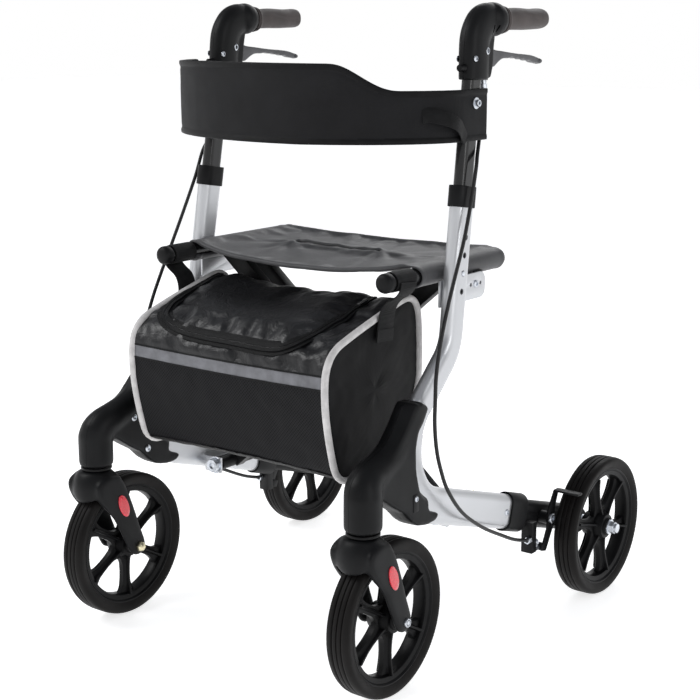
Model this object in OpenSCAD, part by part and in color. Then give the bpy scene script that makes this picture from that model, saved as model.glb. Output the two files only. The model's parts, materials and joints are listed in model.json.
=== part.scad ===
// Folding rollator walker with a seat, a bag and a backrest strap.
// Origin: on the floor, under the centre. +Z is up, the user walks towards -Y.

/* [Wheels] */
// Diameter of all four wheels
wheel_d = 200; // [180:1:210]
// Width of a tyre
tyre_w = 34; // [30:1:36]
// Distance from the front axles to the rear axles
wheelbase = 465; // [440:1:500]
// Distance of each front wheel from the middle
front_half_track = 225.5; // [220:0.5:232]
// Distance of each rear wheel from the middle
rear_half_track = 269; // [264:1:276]
// How far a front axle trails behind its swivel
caster_trail = 46; // [40:1:48]

/* [Side frame] */
// Distance of the side plane from the middle at the floor
foot_x = 226.6; // [222:0.1:230]
// Where the upright's line meets the floor
foot_y = -148.7; // [-152:0.1:-144]
// Lean of each side frame towards the middle, in degrees
lean_in = 1.4; // [0:0.1:2]
// Tilt of the upright towards the back, in degrees
tilt_back = 9.1; // [8:0.1:10]
// Depth of the upright tube, front to back
upright_d = 36; // [34:1:38]
// Thickness of the upright tube
upright_w = 22; // [21:1:24]
// Height of the lower rail tube
rail_d = 48; // [44:1:50]
// Thickness of the lower rail tube
rail_w = 24; // [22:1:26]
// Slope of the lower rail, in degrees
rail_slope = 17.3; // [16:0.1:18]

/* [Fold] */
// Distance of each lower brace pivot from the middle
pivot_x = 192; // [188:1:193]
// Height of the lower brace pivots
pivot_z = 180; // [176:1:184]
// Distance of each seat bar from the middle
bar_x = 184; // [181:1:185]
// Height of the seat bars
bar_z = 502; // [500:1:504]

/* [Height adjustment] */
// Distance between two height holes
hole_pitch = 22.5; // [20:0.5:25]
// Height of the hole that holds the button
button_z = 503.6; // [500:0.1:508]

/* [Handles] */
// Length of a hand grip
grip_l = 101; // [95:1:105]
// Height of a hand grip's middle
grip_z = 815; // [810:1:820]

/* [Soft parts] */
// Width of the bag
bag_w = 326; // [300:1:330]
// Thickness of the backrest strap
strap_t = 4; // [3:0.5:5]

/* [Hidden] */
$fn = 48;

gap = 0.3;
wheel_r = wheel_d / 2;
front_y = -wheelbase / 2;
rear_y = wheelbase / 2;
swivel_y = front_y - caster_trail;

// Side frame: an upright, a forward bend, a sloping arm, a knee and the rail
bend_z = 430;
bend_r = 60;
arm_tilt = 48.1;
arm_l = 68;
knee_inner_r = 59;
wall = 2;
upright_top = 607;
bend_start = [foot_y + bend_z * tan(tilt_back), bend_z];
bend_c = bend_start + bend_r * [-cos(tilt_back), sin(tilt_back)];
arm_dir = [-sin(arm_tilt), -cos(arm_tilt)];
arm_normal = [-cos(arm_tilt), sin(arm_tilt)];
arm_start = bend_c - bend_r * arm_normal;
arm_end = arm_start + arm_l * arm_dir;
knee_c = arm_end - (knee_inner_r + upright_d / 2) * arm_normal;
rail_dir = [cos(rail_slope), -sin(rail_slope)];
rail_normal = [-sin(rail_slope), -cos(rail_slope)];
rail_start = knee_c + (knee_inner_r + rail_d / 2) * rail_normal;
rail_l = 206;
// A straight tube runs this far into the bend beside it
run_in = 2;
axle_z = wheel_r;

// Front corner cover
stem_r = 24;
stem_pin_r = 8;
stem_bottom = 222;
cover_half = 16;

// Rear leg
leg_d = 38;
leg_w = 20;
leg_from = 165;
leg_l = 372;

// Height tube and handle
inner_d = 30;
inner_w = 17;
inner_bottom = 460;
inner_top = 752;
shell_half = 16;
lever_y = -14.5;
lever_z = 777;
brake_y = 130;
brake_z = 133;

// Braces: A runs from the left rail to the right seat bar, B the other way
brace_w = 25;
brace_t = 15;
brace_rise = bar_z - pivot_z;
cross_z = pivot_z + brace_rise * pivot_x / (pivot_x + bar_x);
brace_angle = atan2(brace_rise, pivot_x + bar_x);
brace_l = norm([brace_rise, pivot_x + bar_x]);
bar_r = 11;
a_y = -31;
b_front_y = -50.5;
b_rear_y = -12;

// Brake cable: from the handle down the outside of the frame to the rear leg
cable_r = 2.5;
cable_route = [
  [207.5, 0, 732.5], [209, -3, 715], [211.5, -10, 692], [214, -16.5, 676], [217.3, -24.5, 662],
  [224, -38, 648], [229, -48, 634], [232, -62, 597], [236, -78, 549],
  [238, -92, 512], [240, -117, 472], [243, -140, 433], [246, -156, 393], [249, -163, 362],
  [250, -165, 332], [250, -160, 299], [250, -150, 271], [250, -134, 241], [248, -97, 202],
  [246, -46, 168], [243, 8, 141], [242, 45, 124], [242, 79, 113], [242, 85, 112], [242, 94, 112]
];

// Backrest strap
strap_x = 219.5;
strap_y = -62;
strap_bulge = 132;
strap_end_y = -14;

frame_color = [0.78, 0.79, 0.81];
black = [0.09, 0.09, 0.1];
soft_black = [0.14, 0.14, 0.15];
steel = [0.7, 0.71, 0.73];

module on_side(s) {
  if (s < 0) mirror([1, 0, 0]) children();
  else children();
}

// Side plane: X = 0 is the middle of the tubes, Y and Z as on the whole walker
module lean() translate([foot_x, 0, 0]) rotate([0, -lean_in, 0]) children();

// Upright line: +Z runs up the tube
module along_upright() lean() translate([0, foot_y, 0]) rotate([-tilt_back, 0, 0]) children();

// A side view drawn with X as the walker's Y and Y as its Z, w thick
module side_plate(w) rotate([90, 0, 90]) linear_extrude(w, center = true) children();

module side_slab(x0, x1) translate([x0, 0, 0]) rotate([90, 0, 90]) linear_extrude(x1 - x0) children();

// Oval section: d along Y, w along X
module oval(d, w) {
  square([w, d - w], center = true);
  for (k = [-1, 1]) translate([0, k * (d - w) / 2]) circle(d = w);
}

module x_rod(r, x0, x1, y, z) translate([x0, y, z]) rotate([0, 90, 0]) cylinder(r = r, h = x1 - x0);

module y_rod(r, y0, y1, x, z) translate([x, y0, z]) rotate([-90, 0, 0]) cylinder(r = r, h = y1 - y0);

// Part of a ring of oval tube in the side plane
module bent_tube(c, r, a0, a1, d, w)
  rotate([90, 0, 90]) translate([c[0], c[1], 0]) rotate([0, 0, a0])
    rotate_extrude(angle = a1 - a0) translate([r, 0]) rotate(90) oval(d, w);

// Straight oval tube in the side plane, from a point along a direction
module straight_tube(p, dir, l, d, w)
  translate([0, p[0], p[1]]) rotate([-atan2(dir[0], dir[1]), 0, 0]) linear_extrude(l) oval(d, w);

// ---------- side frame ----------
module upright_solid(extra)
  translate([0, foot_y, 0]) rotate([-tilt_back, 0, 0])
    translate([0, 0, bend_z / cos(tilt_back) - run_in])
      linear_extrude((upright_top - bend_z) / cos(tilt_back) + run_in)
        oval(upright_d + extra + 0.1, upright_w + extra + 0.1);

module knee_solid(extra) {
  bent_tube(bend_c, bend_r, -arm_tilt, -tilt_back, upright_d + extra, upright_w + extra);
  straight_tube(arm_end + run_in * arm_dir, -arm_dir, arm_l + 2 * run_in, upright_d + extra + 0.1,
    upright_w + extra + 0.1);
  bent_tube(knee_c, knee_inner_r + upright_d / 2, 180 - arm_tilt, 190, upright_d + extra - 0.8,
    upright_w + extra - 0.8);
  bent_tube(knee_c, knee_inner_r + rail_d / 2, 160, 270 - rail_slope, rail_d + extra, rail_w + extra);
}

module rail_solid(extra)
  straight_tube(rail_start - run_in * rail_dir, rail_dir, rail_l + run_in, rail_d + extra + 0.1,
    rail_w + extra + 0.1);

module pivot_lugs()
  for (y = [-76, 13]) translate([pivot_x - 10, y, pivot_z - 11]) {
    difference() {
      cube([30, 4, 22]);
      translate([10, -1, 11]) rotate([-90, 0, 0]) cylinder(r = 6.2, h = 6);
    }
  }

module side_frame(s) color(frame_color) on_side(s) {
  difference() {
    lean() {
      difference() {
        upright_solid(0);
        translate([0, foot_y, 0]) rotate([-tilt_back, 0, 0])
          translate([0, 0, (bend_z + 4) / cos(tilt_back)])
            linear_extrude(250) oval(upright_d - 2 * wall, upright_w - 2 * wall);
      }
      knee_solid(0);
      difference() {
        rail_solid(0);
        straight_tube(rail_start + 130 * rail_dir, rail_dir, 100, rail_d - 2 * wall, rail_w - 2 * wall);
      }
    }
    height_holes();
  }
  pivot_lugs();
}

module height_holes()
  for (k = [-1:3]) along_upright() translate([0, 0, (button_z + k * hole_pitch) / cos(tilt_back)])
    rotate([0, 90, 0]) cylinder(r = 3.9, h = 20);

// ---------- front corner cover ----------
module cover_outline() polygon([
  [-300, 232], [-300, 272], [-293, 289], [-279, 298], [-262, 302], [-241, 308], [-217, 326], [-176, 362],
  [-153, 348], [-168, 330], [-178, 322], [-182.5, 303], [-182, 271], [-175, 244], [-152, 216], [-135, 209],
  [-152, 202], [-176, 204], [-190, 212], [-208, 228], [-232, 246], [-248, 248], [-256, 240], [-258, 232]
]);

module stem_solid() {
  translate([front_half_track, swivel_y, stem_bottom]) cylinder(r = stem_r, h = 56);
  translate([front_half_track, swivel_y, stem_bottom + 56]) sphere(r = stem_r);
}

module cover_cuts() {
  translate([front_half_track, swivel_y, stem_bottom - 1]) cylinder(r = stem_pin_r + 0.05, h = 61);
  lean() knee_solid(gap);
  lean() rail_solid(gap);
  lean() upright_solid(gap);
}

module cover_outer(s) color(soft_black) on_side(s) difference() {
  union() {
    lean() side_slab(0.15, cover_half) cover_outline();
    stem_solid();
  }
  cover_cuts();
}

module cover_inner(s) color(soft_black) on_side(s) difference() {
  lean() side_slab(-cover_half, -0.15) cover_outline();
  cover_cuts();
  translate([front_half_track, swivel_y, 200]) cylinder(r = stem_r + gap, h = 78);
  translate([front_half_track, swivel_y, stem_bottom + 56]) sphere(r = stem_r + gap);
  for (p = cover_screw_places) lean() x_rod(3.1, -30, 0, p[0], p[1]);
}

cover_screw_places = [[-226, 282], [-200, 232]];

// ---------- sleeves, rear leg ----------
module tube_sleeves(s) color(soft_black) on_side(s) {
  lean() difference() {
    translate([0, foot_y, 0]) rotate([-tilt_back, 0, 0]) translate([0, 0, 585 / cos(tilt_back)])
      linear_extrude(27) oval(upright_d + 6, upright_w + 4);
    translate([0, foot_y, 0]) rotate([-tilt_back, 0, 0]) translate([0, 0, 500])
      linear_extrude(200) oval(inner_d + 0.6, inner_w + 0.6);
    translate([0, foot_y, 0]) rotate([-tilt_back, 0, 0]) translate([0, 0, 500])
      linear_extrude((upright_top + gap) / cos(tilt_back) - 500) oval(upright_d + gap, upright_w + gap);
  }
  lean() difference() {
    straight_tube(rail_start + 176 * rail_dir, rail_dir, 42, rail_d + 6, rail_w + 6);
    straight_tube(rail_start + 170 * rail_dir, rail_dir, rail_l - 170 + gap, rail_d + gap, rail_w + gap);
    straight_tube(rail_start + 170 * rail_dir, rail_dir, 60, leg_d + gap, leg_w + gap);
  }
}

module rear_leg(s) color(black) on_side(s) difference() {
  union() {
    lean() straight_tube(rail_start + leg_from * rail_dir, rail_dir, leg_l - leg_from, leg_d, leg_w);
    x_rod(17, front_half_track - 12, 242, rear_y, axle_z);
    translate([229, 86, 92]) cube([17, 12, 44]);
  }
  x_rod(6.05, 200, 260, rear_y, axle_z);
  x_rod(4.05, 200, 260, brake_y, brake_z);
  y_rod(2.8, 80, 105, 242, 112);
}

// ---------- bracket, cradle and screws ----------
module bracket(s) color(frame_color) on_side(s) difference() {
  side_slab(200.2, 203.2) {
    translate([-86, 460]) square([94, 34]);
    translate([8, 472]) square([12, 10]);
    for (z = [472, 482]) translate([8, z]) circle(r = 12);
  }
  x_rod(3.05, 190, 210, -3, 479.5);
  for (y = [-14.5, 8.5]) x_rod(2.5, 190, 210, y, 479.5);
}

module seat_cradle(s) color(soft_black) on_side(s) difference() {
  union() {
    translate([172, 1, 485]) cube([28, 17, 10]);
    translate([194, -9, 473]) cube([6, 13, 17]);
  }
  y_rod(bar_r + gap, -10, 30, bar_x, bar_z);
  x_rod(3.05, 190, 210, -3, 479.5);
}

module head(x, y, z, r) x_rod(r, x, x + 2.4, y, z);

module frame_screws(s) color(steel) on_side(s) {
  x_rod(3, 196, 203.2, -3, 479.5);
  head(203.2, -3, 479.5, 5);
  y_rod(6, -82, 20, pivot_x, pivot_z);
  y_rod(10, -84, -76, pivot_x, pivot_z);
  y_rod(9.5, 17.2, 24, pivot_x, pivot_z);
  lean() x_rod(4, rail_w / 2 + 0.1, rail_w / 2 + 1.7, 36, 163);
  for (p = cover_screw_places) lean() {
    x_rod(3, -cover_half - 1.8, -rail_w / 2 - 0.6, p[0], p[1]);
    x_rod(5, -cover_half - 1.8, -cover_half - gap, p[0], p[1]);
  }
}

module rear_axle(s) color(steel) on_side(s) {
  x_rod(6, 206, 297, rear_y, axle_z);
  x_rod(10, 206, 211, rear_y, axle_z);
  x_rod(10, 242.2, rear_half_track - 20.3, rear_y, axle_z);
  x_rod(11, rear_half_track + 20.3, rear_half_track + 22, rear_y, axle_z);
  translate([rear_half_track + 22, rear_y, axle_z]) rotate([0, 90, 0]) cylinder(r = 9, h = 7, $fn = 6);
  x_rod(6.5, rear_half_track + 28, 302, rear_y, axle_z);
}

// ---------- height tube and handle ----------
module inner_tube_solid(extra)
  translate([0, 0, inner_bottom / cos(tilt_back)])
    linear_extrude((inner_top - inner_bottom) / cos(tilt_back) + extra)
      oval(inner_d + extra, inner_w + extra);

module inner_tube(s) color(black) on_side(s) along_upright() difference() {
  inner_tube_solid(0);
  translate([0, 0, 400]) linear_extrude(340) oval(inner_d - 3, inner_w - 3);
  translate([0, 0, button_z / cos(tilt_back)]) rotate([0, 90, 0]) cylinder(r = 3.8, h = 20);
}

module handle_outline() polygon([
  [-49, 741], [-50, 760], [-47, 788], [-39, 802], [-28, 812], [-27, 824], [-17, 834], [-3, 838.5],
  [12, 837], [27, 831], [31, 822], [31, 801], [14, 795], [9, 780], [8, 762], [6, 750], [4, 742.5], [-6, 741]
]);

module lever_room() translate([-7, -29, 756]) cube([14, 60, 34]);

module handle_shell(s, inside) color(soft_black) on_side(s) difference() {
  lean() {
    side_slab(inside ? -shell_half : 0.15, inside ? -0.15 : shell_half) handle_outline();
    if (!inside) y_rod(8, 20, 31 + grip_l - 12, 0, grip_z);
  }
  along_upright() inner_tube_solid(gap);
  lean() lever_room();
  lean() x_rod(4.05, -20, 20, lever_y, lever_z);
  if (inside) lean() y_rod(8 + gap, 19, 60, 0, grip_z);
  lean() for (x = [-1, 1]) x_rod(3.1, x * 14 - 8, x * 14 + 8, -41, 768);
}

module grip(s) color([0.24, 0.23, 0.23]) on_side(s) lean() difference() {
  union() {
    y_rod(19, 31.2, 34, 0, grip_z);
    translate([0, 34, grip_z]) rotate([-90, 0, 0]) linear_extrude(grip_l - 3) rotate(90) oval(36, 27);
  }
  y_rod(8.05, 30, 31 + grip_l - 11, 0, grip_z);
}

module handle_screws(s) color(steel) on_side(s) {
  lean() handle_side_screws();
  translate([207.5, 0, 733.5]) cylinder(r = 4.5, h = 7);
}

module handle_side_screws() {
  x_rod(3, 9.5, shell_half + 1.6, -41, 768);
  x_rod(3, -shell_half - 1.6, -9.5, -41, 768);
  x_rod(3.9, 12.5, shell_half + 1.6, lever_y, lever_z);
  x_rod(3.9, -shell_half - 1.6, -12.5, lever_y, lever_z);
  y_rod(4.5, -58, -50.2, 0, 757);
}

module lever_outline() polygon([
  [-20, 786], [-8, 787], [20, 780], [70, 776], [110, 771], [130, 768], [138, 763], [134, 757], [122, 756],
  [112, 761], [98, 762], [86, 766], [74, 765], [62, 769], [50, 768], [32, 772], [10, 767], [-8, 766],
  [-20, 768]
]);

module brake_lever(s) color([0.45, 0.46, 0.48]) on_side(s) lean() difference() {
  union() {
    side_plate(11) lever_outline();
    x_rod(4, -12, 12, lever_y, lever_z);
  }
  translate([-20, -40, 700]) cube([40, 19, 150]);
}

module snap_button(s) color(steel) on_side(s) along_upright()
  translate([3, 0, button_z / cos(tilt_back)]) rotate([0, 90, 0]) cylinder(r = 3.6, h = 9.5);

// ---------- front casters ----------
module leg_outline() polygon([
  [-313, 203], [-318, 186], [-308, 180], [-293, 169], [-275, 150], [-260, 122], [-247, 92], [-240, 86],
  [-228, 86], [-220, 94], [-219, 106], [-230, 130], [-242, 161], [-256, 187], [-262, 205]
]);

module fork(s) color(soft_black) on_side(s) translate([front_half_track, 0, 0]) difference() {
  union() {
    for (x = [-32.5, 23.5]) side_slab(x, x + 9) leg_outline();
    difference() {
      intersection() {
        side_plate(65) translate([swivel_y + 2, 174]) circle(r = 45);
        translate([0, swivel_y, 150]) cylinder(r = 38, h = 80);
      }
      x_rod(106, -40, 40, front_y, axle_z);
    }
  }
  x_rod(4.05, -40, 40, front_y, axle_z);
  translate([0, swivel_y, 150]) cylinder(r = 5.05, h = 90);
}

module reflectors(s) color([0.8, 0.06, 0.1]) on_side(s) translate([front_half_track, 0, 0])
  for (x = [-33.6, 32.6]) translate([0, -261, 166]) rotate([22, 0, 0]) side_slab(x, x + 1) {
    circle(r = 6);
    for (k = [-1, 1]) translate([0, k * 7]) circle(r = 5.5);
    square([12, 14], center = true);
  }

module caster_bolts(s) color(steel) on_side(s) translate([front_half_track, 0, 0]) {
  x_rod(4, -36, 36, front_y, axle_z);
  for (x = [-37, 33]) x_rod(7, x, x + 4, front_y, axle_z);
  translate([0, swivel_y, 204]) cylinder(r = 5, h = 14.2);
  translate([0, swivel_y, 219.2]) cylinder(r = stem_pin_r, h = 60);
  translate([0, swivel_y, 219.2]) cylinder(r = 22, h = 2.5);
  translate([0, swivel_y, 218]) cylinder(r = 5, h = 2);
}

// ---------- wheels ----------
module tyre(s, x, y) color([0.07, 0.07, 0.07]) on_side(s) translate([x, y, axle_z]) rotate([0, 90, 0])
  rotate_extrude($fn = 96) polygon(concat(tyre_half(-1), reverse(tyre_half(1))));

function reverse(p) = [for (i = [len(p) - 1:-1:0]) p[i]];

// Half of the tyre's section, from its inner edge to the middle of the tread, with one and a half grooves
function tyre_half(k) = [
  [wheel_r * 0.84, k * tyre_w * 0.38], [wheel_r * 0.94, k * tyre_w / 2],
  [wheel_r * 0.975, k * tyre_w * 0.42], [wheel_r, k * tyre_w * 0.28], [wheel_r, k * 7],
  [wheel_r - 1.5, k * 6], [wheel_r, k * 5], [wheel_r, k], [wheel_r - 1.5, k * 0.2]
];

module rim(s, x, y, bore) color(black) on_side(s) translate([x, y, axle_z]) rotate([0, 90, 0]) difference() {
  union() {
    rotate_extrude($fn = 96) translate([wheel_r * 0.74, -14]) square([wheel_r * 0.095, 28]);
    cylinder(r = 21, h = 34, center = true);
    cylinder(r = 12, h = 40, center = true);
    for (a = [0:60:300]) rotate(a) translate([14, -7, -10]) cube([wheel_r * 0.74 - 12, 14, 20]);
  }
  cylinder(r = bore, h = 60, center = true);
}

// ---------- rear brakes ----------
module brake_arm(s) color(black) on_side(s) difference() {
  union() {
    side_slab(247, 250) polygon([
      [122, 120], [124, 146], [140, 171], [154, 169], [142, 146], [139, 122], [118, 88], [106, 92]
    ]);
    side_slab(247, 286) polygon([[140, 171], [152, 171], [154, 169], [141, 168]]);
    x_rod(9, 234, 247.5, brake_y, brake_z);
    x_rod(4, 214, 247.5, brake_y, brake_z);
    x_rod(7, 249, 254.5, brake_y, brake_z);
    side_slab(238, 250) polygon([[106, 92], [118, 88], [122, 98], [110, 102]]);
  }
  y_rod(1.5, 90, 130, 242, 95);
}

// ---------- cable ----------
function cable_dir(p, i) =
  let (a = p[max(i - 1, 0)], b = p[min(i + 1, len(p) - 1)]) (b - a) / norm(b - a);

function cable_ring(p, i, r) =
  let (d = cable_dir(p, i), u0 = cross(d, [1, 0, 0]), u = u0 / norm(u0), v = cross(u, d))
  [for (k = [0:7]) p[i] + r * (cos(45 * k) * u + sin(45 * k) * v)];

function cable_side(i, k, next) = [i + k, i + next, i + 8 + next, i + 8 + k];

module swept_cable(p, r) {
  n = len(p);
  points = [for (i = [0:n - 1]) each cable_ring(p, i, r)];
  sides = [for (i = [0:n - 2]) for (k = [0:7]) cable_side(i * 8, k, (k + 1) % 8)];
  start = [for (k = [7:-1:0]) k];
  end = [for (k = [0:7]) (n - 1) * 8 + k];
  polyhedron(points, concat([start], sides, [end]), convexity = 6);
}

module brake_cable(s) color(black) on_side(s) swept_cable(cable_route, cable_r);

// ---------- braces and seat bars ----------
// Bar in the XZ plane from the lower right pivot towards the left, or mirrored
module brace_bar(y, from, l) translate([pivot_x, y, pivot_z]) rotate([0, brace_angle - 180, 0])
  translate([from, -brace_t / 2, -brace_w / 2]) cube([l - from, brace_t, brace_w]);

brace_lower_l = norm([pivot_x, cross_z - pivot_z]);

module brace_b() color(black) difference() {
  union() {
    brace_bar(b_front_y, 0, brace_l - 9);
    brace_bar(b_rear_y, brace_lower_l - 16, brace_l - 9);
    y_rod(10, -68, 10, pivot_x, pivot_z);
    y_rod(9, b_front_y - brace_t / 2 - 4, b_front_y, 0, cross_z);
    y_rod(9, b_rear_y, b_rear_y + brace_t / 2 + 4, 0, cross_z);
    y_rod(5, b_front_y, b_rear_y, 0, cross_z);
  }
  y_rod(6.05, -80, 20, pivot_x, pivot_z);
  y_rod(bar_r + 0.05, -100, 40, -bar_x, bar_z);
}

module brace_a() color(black) difference() {
  union() {
    mirror([1, 0, 0]) brace_bar(a_y, 0, brace_l - 9);
    y_rod(10, -68, 10, -pivot_x, pivot_z);
  }
  y_rod(6.05, -80, 20, -pivot_x, pivot_z);
  y_rod(5.05, -80, 20, 0, cross_z);
  y_rod(bar_r + 0.05, -100, 40, bar_x, bar_z);
}

module seat_bar(s) color(black) on_side(s) y_rod(bar_r, -180, 78, bar_x, bar_z);

module bar_knob(s) color(soft_black) on_side(s) {
  y_rod(12.5, -187, -180, bar_x, bar_z);
  y_rod(12.5, 78, 81, bar_x, bar_z);
}

// ---------- soft parts ----------
module seat() color([0.16, 0.16, 0.17]) difference() {
  translate([-172.5, -142, 507]) cube([345, 218, 8]);
  translate([-76, -39, 495]) cube([152, 12, 30]);
}

module bag() color([0.11, 0.11, 0.12]) side_plate(bag_w) polygon([
  [-98, 470], [-78, 462], [-70, 446], [-70, 357], [-80, 330], [-110, 303], [-150, 285], [-225, 262],
  [-240, 264], [-252, 282], [-268, 350], [-272, 390], [-270, 408], [-256, 424], [-217, 441], [-145, 460]
]);

// Strap: half an ellipse in front of the uprights, with a hump in its upper edge
module backrest() color([0.1, 0.1, 0.1]) intersection() {
  difference() {
    translate([0, 0, 640]) linear_extrude(140) difference() {
      strap_area(strap_t);
      strap_area(0);
    }
    for (z = [630, 738]) translate([-240, -56, z]) cube([40, 60, 42]);
  }
  rotate([90, 0, 0]) linear_extrude(400, center = true) polygon([
    [-230, 661], [-100, 658], [230, 667], [230, 731], [165, 731], [150, 736], [118, 757], [100, 761],
    [-100, 759], [-230, 757]
  ]);
}

module strap_area(t) polygon(concat(
  [for (a = [-90:7.5:90]) [(strap_x + t) * sin(a), strap_y - (strap_bulge + t) * cos(a)]],
  [[strap_x + t, strap_end_y], [-strap_x - t, strap_end_y]]
));

side_frame(-1);  // left_side_frame
side_frame(1);  // right_side_frame
cover_outer(-1);  // left_cover_outer
cover_outer(1);  // right_cover_outer
cover_inner(-1);  // left_cover_inner
cover_inner(1);  // right_cover_inner
tube_sleeves(-1);  // left_tube_sleeves
tube_sleeves(1);  // right_tube_sleeves
rear_leg(-1);  // left_rear_leg
rear_leg(1);  // right_rear_leg
bracket(-1);  // left_bracket
bracket(1);  // right_bracket
seat_cradle(-1);  // left_seat_cradle
seat_cradle(1);  // right_seat_cradle
frame_screws(-1);  // left_frame_screws
frame_screws(1);  // right_frame_screws
rear_axle(-1);  // left_rear_axle
rear_axle(1);  // right_rear_axle
inner_tube(-1);  // left_inner_tube
inner_tube(1);  // right_inner_tube
handle_shell(-1, false);  // left_handle_outer
handle_shell(1, false);  // right_handle_outer
handle_shell(-1, true);  // left_handle_inner
handle_shell(1, true);  // right_handle_inner
grip(-1);  // left_grip
grip(1);  // right_grip
handle_screws(-1);  // left_handle_screws
handle_screws(1);  // right_handle_screws
brake_lever(-1);  // left_brake_lever
brake_lever(1);  // right_brake_lever
snap_button(-1);  // left_snap_button
snap_button(1);  // right_snap_button
fork(-1);  // left_fork
fork(1);  // right_fork
reflectors(-1);  // left_reflectors
reflectors(1);  // right_reflectors
caster_bolts(-1);  // left_caster_bolts
caster_bolts(1);  // right_caster_bolts
tyre(-1, front_half_track, front_y);  // left_front_tyre
tyre(1, front_half_track, front_y);  // right_front_tyre
rim(-1, front_half_track, front_y, 4.05);  // left_front_rim
rim(1, front_half_track, front_y, 4.05);  // right_front_rim
tyre(-1, rear_half_track, rear_y);  // left_rear_tyre
tyre(1, rear_half_track, rear_y);  // right_rear_tyre
rim(-1, rear_half_track, rear_y, 6.05);  // left_rear_rim
rim(1, rear_half_track, rear_y, 6.05);  // right_rear_rim
brake_arm(-1);  // left_brake_arm
brake_arm(1);  // right_brake_arm
brake_cable(-1);  // left_brake_cable
brake_cable(1);  // right_brake_cable
brace_a();
brace_b();
seat_bar(-1);  // left_seat_bar
seat_bar(1);  // right_seat_bar
bar_knob(-1);  // left_bar_knob
bar_knob(1);  // right_bar_knob
seat();
bag();
backrest();
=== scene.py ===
import bpy, bmesh, math, json
import numpy as np
from mathutils import Vector, Matrix, noise


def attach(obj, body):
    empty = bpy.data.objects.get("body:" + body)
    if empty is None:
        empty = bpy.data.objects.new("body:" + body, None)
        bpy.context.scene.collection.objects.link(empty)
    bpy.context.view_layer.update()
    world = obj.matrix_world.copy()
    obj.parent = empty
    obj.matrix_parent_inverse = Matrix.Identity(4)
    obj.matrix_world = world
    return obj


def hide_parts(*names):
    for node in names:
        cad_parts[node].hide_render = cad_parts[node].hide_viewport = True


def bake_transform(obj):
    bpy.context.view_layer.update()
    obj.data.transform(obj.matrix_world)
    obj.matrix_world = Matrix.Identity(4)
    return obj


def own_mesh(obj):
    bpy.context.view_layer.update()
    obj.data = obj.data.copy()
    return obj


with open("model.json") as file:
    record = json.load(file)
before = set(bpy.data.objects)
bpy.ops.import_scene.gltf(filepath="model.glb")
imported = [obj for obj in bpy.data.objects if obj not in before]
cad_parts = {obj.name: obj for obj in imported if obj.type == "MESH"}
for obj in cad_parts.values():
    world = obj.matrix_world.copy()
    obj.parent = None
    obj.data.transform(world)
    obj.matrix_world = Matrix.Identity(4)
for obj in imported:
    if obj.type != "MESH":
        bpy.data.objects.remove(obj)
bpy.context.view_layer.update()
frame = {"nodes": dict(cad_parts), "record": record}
scene = bpy.context.scene
V = Vector
MM = 0.001
BODY = {n: b for b, ns in frame["record"]["behaviour"]["bodies"].items() for n in ns}
SLOT = {p["node"]: p["material_slot"] for p in frame["record"]["subparts"]}

# driving dimensions of the right side, in mm and radians, in the row frame
LEAN = math.radians(1.4)        # the side plane leans out at the foot
TILT = math.radians(9.1)        # the uprights lean back in the side plane
FOOT = (226.6, -148.7)          # where the upright's axis meets the floor: X, Y
CASTER = (225.5, -232.5, 100)   # middle of the front wheel
STEER_Y = -278.5                # Y of the caster's swivel axis
REAR_WHEEL = (269, 232.5, 100)
GRIP_Z = 815
PIVOT_YZ = (-14.5, 777)         # brake lever's pivot in the side plane
BAR_X, BAR_Z = 184, 502         # seat bar's axis
BRACE_PIN = (192, -76, 180)     # head of the brace's lower pin
BAND_X, BAND_Y, BAND_DEEP = 221.5, -62, 133.5   # backrest: half width, end of the bow, depth of the bow
SEAM_GAP = 0.0004               # shadow gap between two half shells, m

# ---------------------------------------------------------------- camera, floor, light
cam = bpy.data.objects.new("camera", bpy.data.cameras.new("camera"))
scene.collection.objects.link(cam)
azimuth, height = math.radians(36.99), math.radians(12.23)
back = V((math.sin(azimuth) * math.cos(height), -math.cos(azimuth) * math.cos(height), math.sin(height)))
cam.location = (1.2402, -1.6521, 0.8216)
cam.rotation_mode = "QUATERNION"
cam.rotation_quaternion = (-back).to_track_quat("-Z", "Y")
cam.data.lens, cam.data.sensor_width = 77.93, 36
cam.data.shift_x, cam.data.shift_y = 0.0006, -0.0104
cam.data.clip_end = 60
scene.camera = cam
scene.view_settings.view_transform = "Standard"
scene.view_settings.look = "None"

world = bpy.data.worlds.new("studio")
scene.world = world
world.use_nodes = True
sky = world.node_tree
background = sky.nodes["Background"]
coords = sky.nodes.new("ShaderNodeTexCoord")
split = sky.nodes.new("ShaderNodeSeparateXYZ")
fade = sky.nodes.new("ShaderNodeValToRGB")
sky.links.new(coords.outputs["Generated"], split.inputs[0])
sky.links.new(split.outputs["Z"], fade.inputs[0])
sky.links.new(fade.outputs[0], background.inputs[0])
horizon, zenith = fade.color_ramp.elements
horizon.position, horizon.color = 0.1, (1, 1, 1, 1)
zenith.position, zenith.color = 0.4, (0.3, 0.31, 0.33, 1)
background.inputs[1].default_value = 1.0

grid = bmesh.new()
bmesh.ops.create_grid(grid, x_segments=2, y_segments=2, size=14)
floor_mesh = bpy.data.meshes.new("floor")
grid.to_mesh(floor_mesh)
grid.free()
floor = bpy.data.objects.new("floor", floor_mesh)
scene.collection.objects.link(floor)
floor.location.z = -0.0003


def area(name, loc, target, size, power):
    lamp = bpy.data.lights.new(name, "AREA")
    lamp.shape, lamp.size, lamp.size_y, lamp.energy = "RECTANGLE", size[0], size[1], power
    o = bpy.data.objects.new(name, lamp)
    scene.collection.objects.link(o)
    o.location = loc
    o.rotation_mode = "QUATERNION"
    o.rotation_quaternion = (V(target) - V(loc)).to_track_quat("-Z", "Y")


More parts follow.
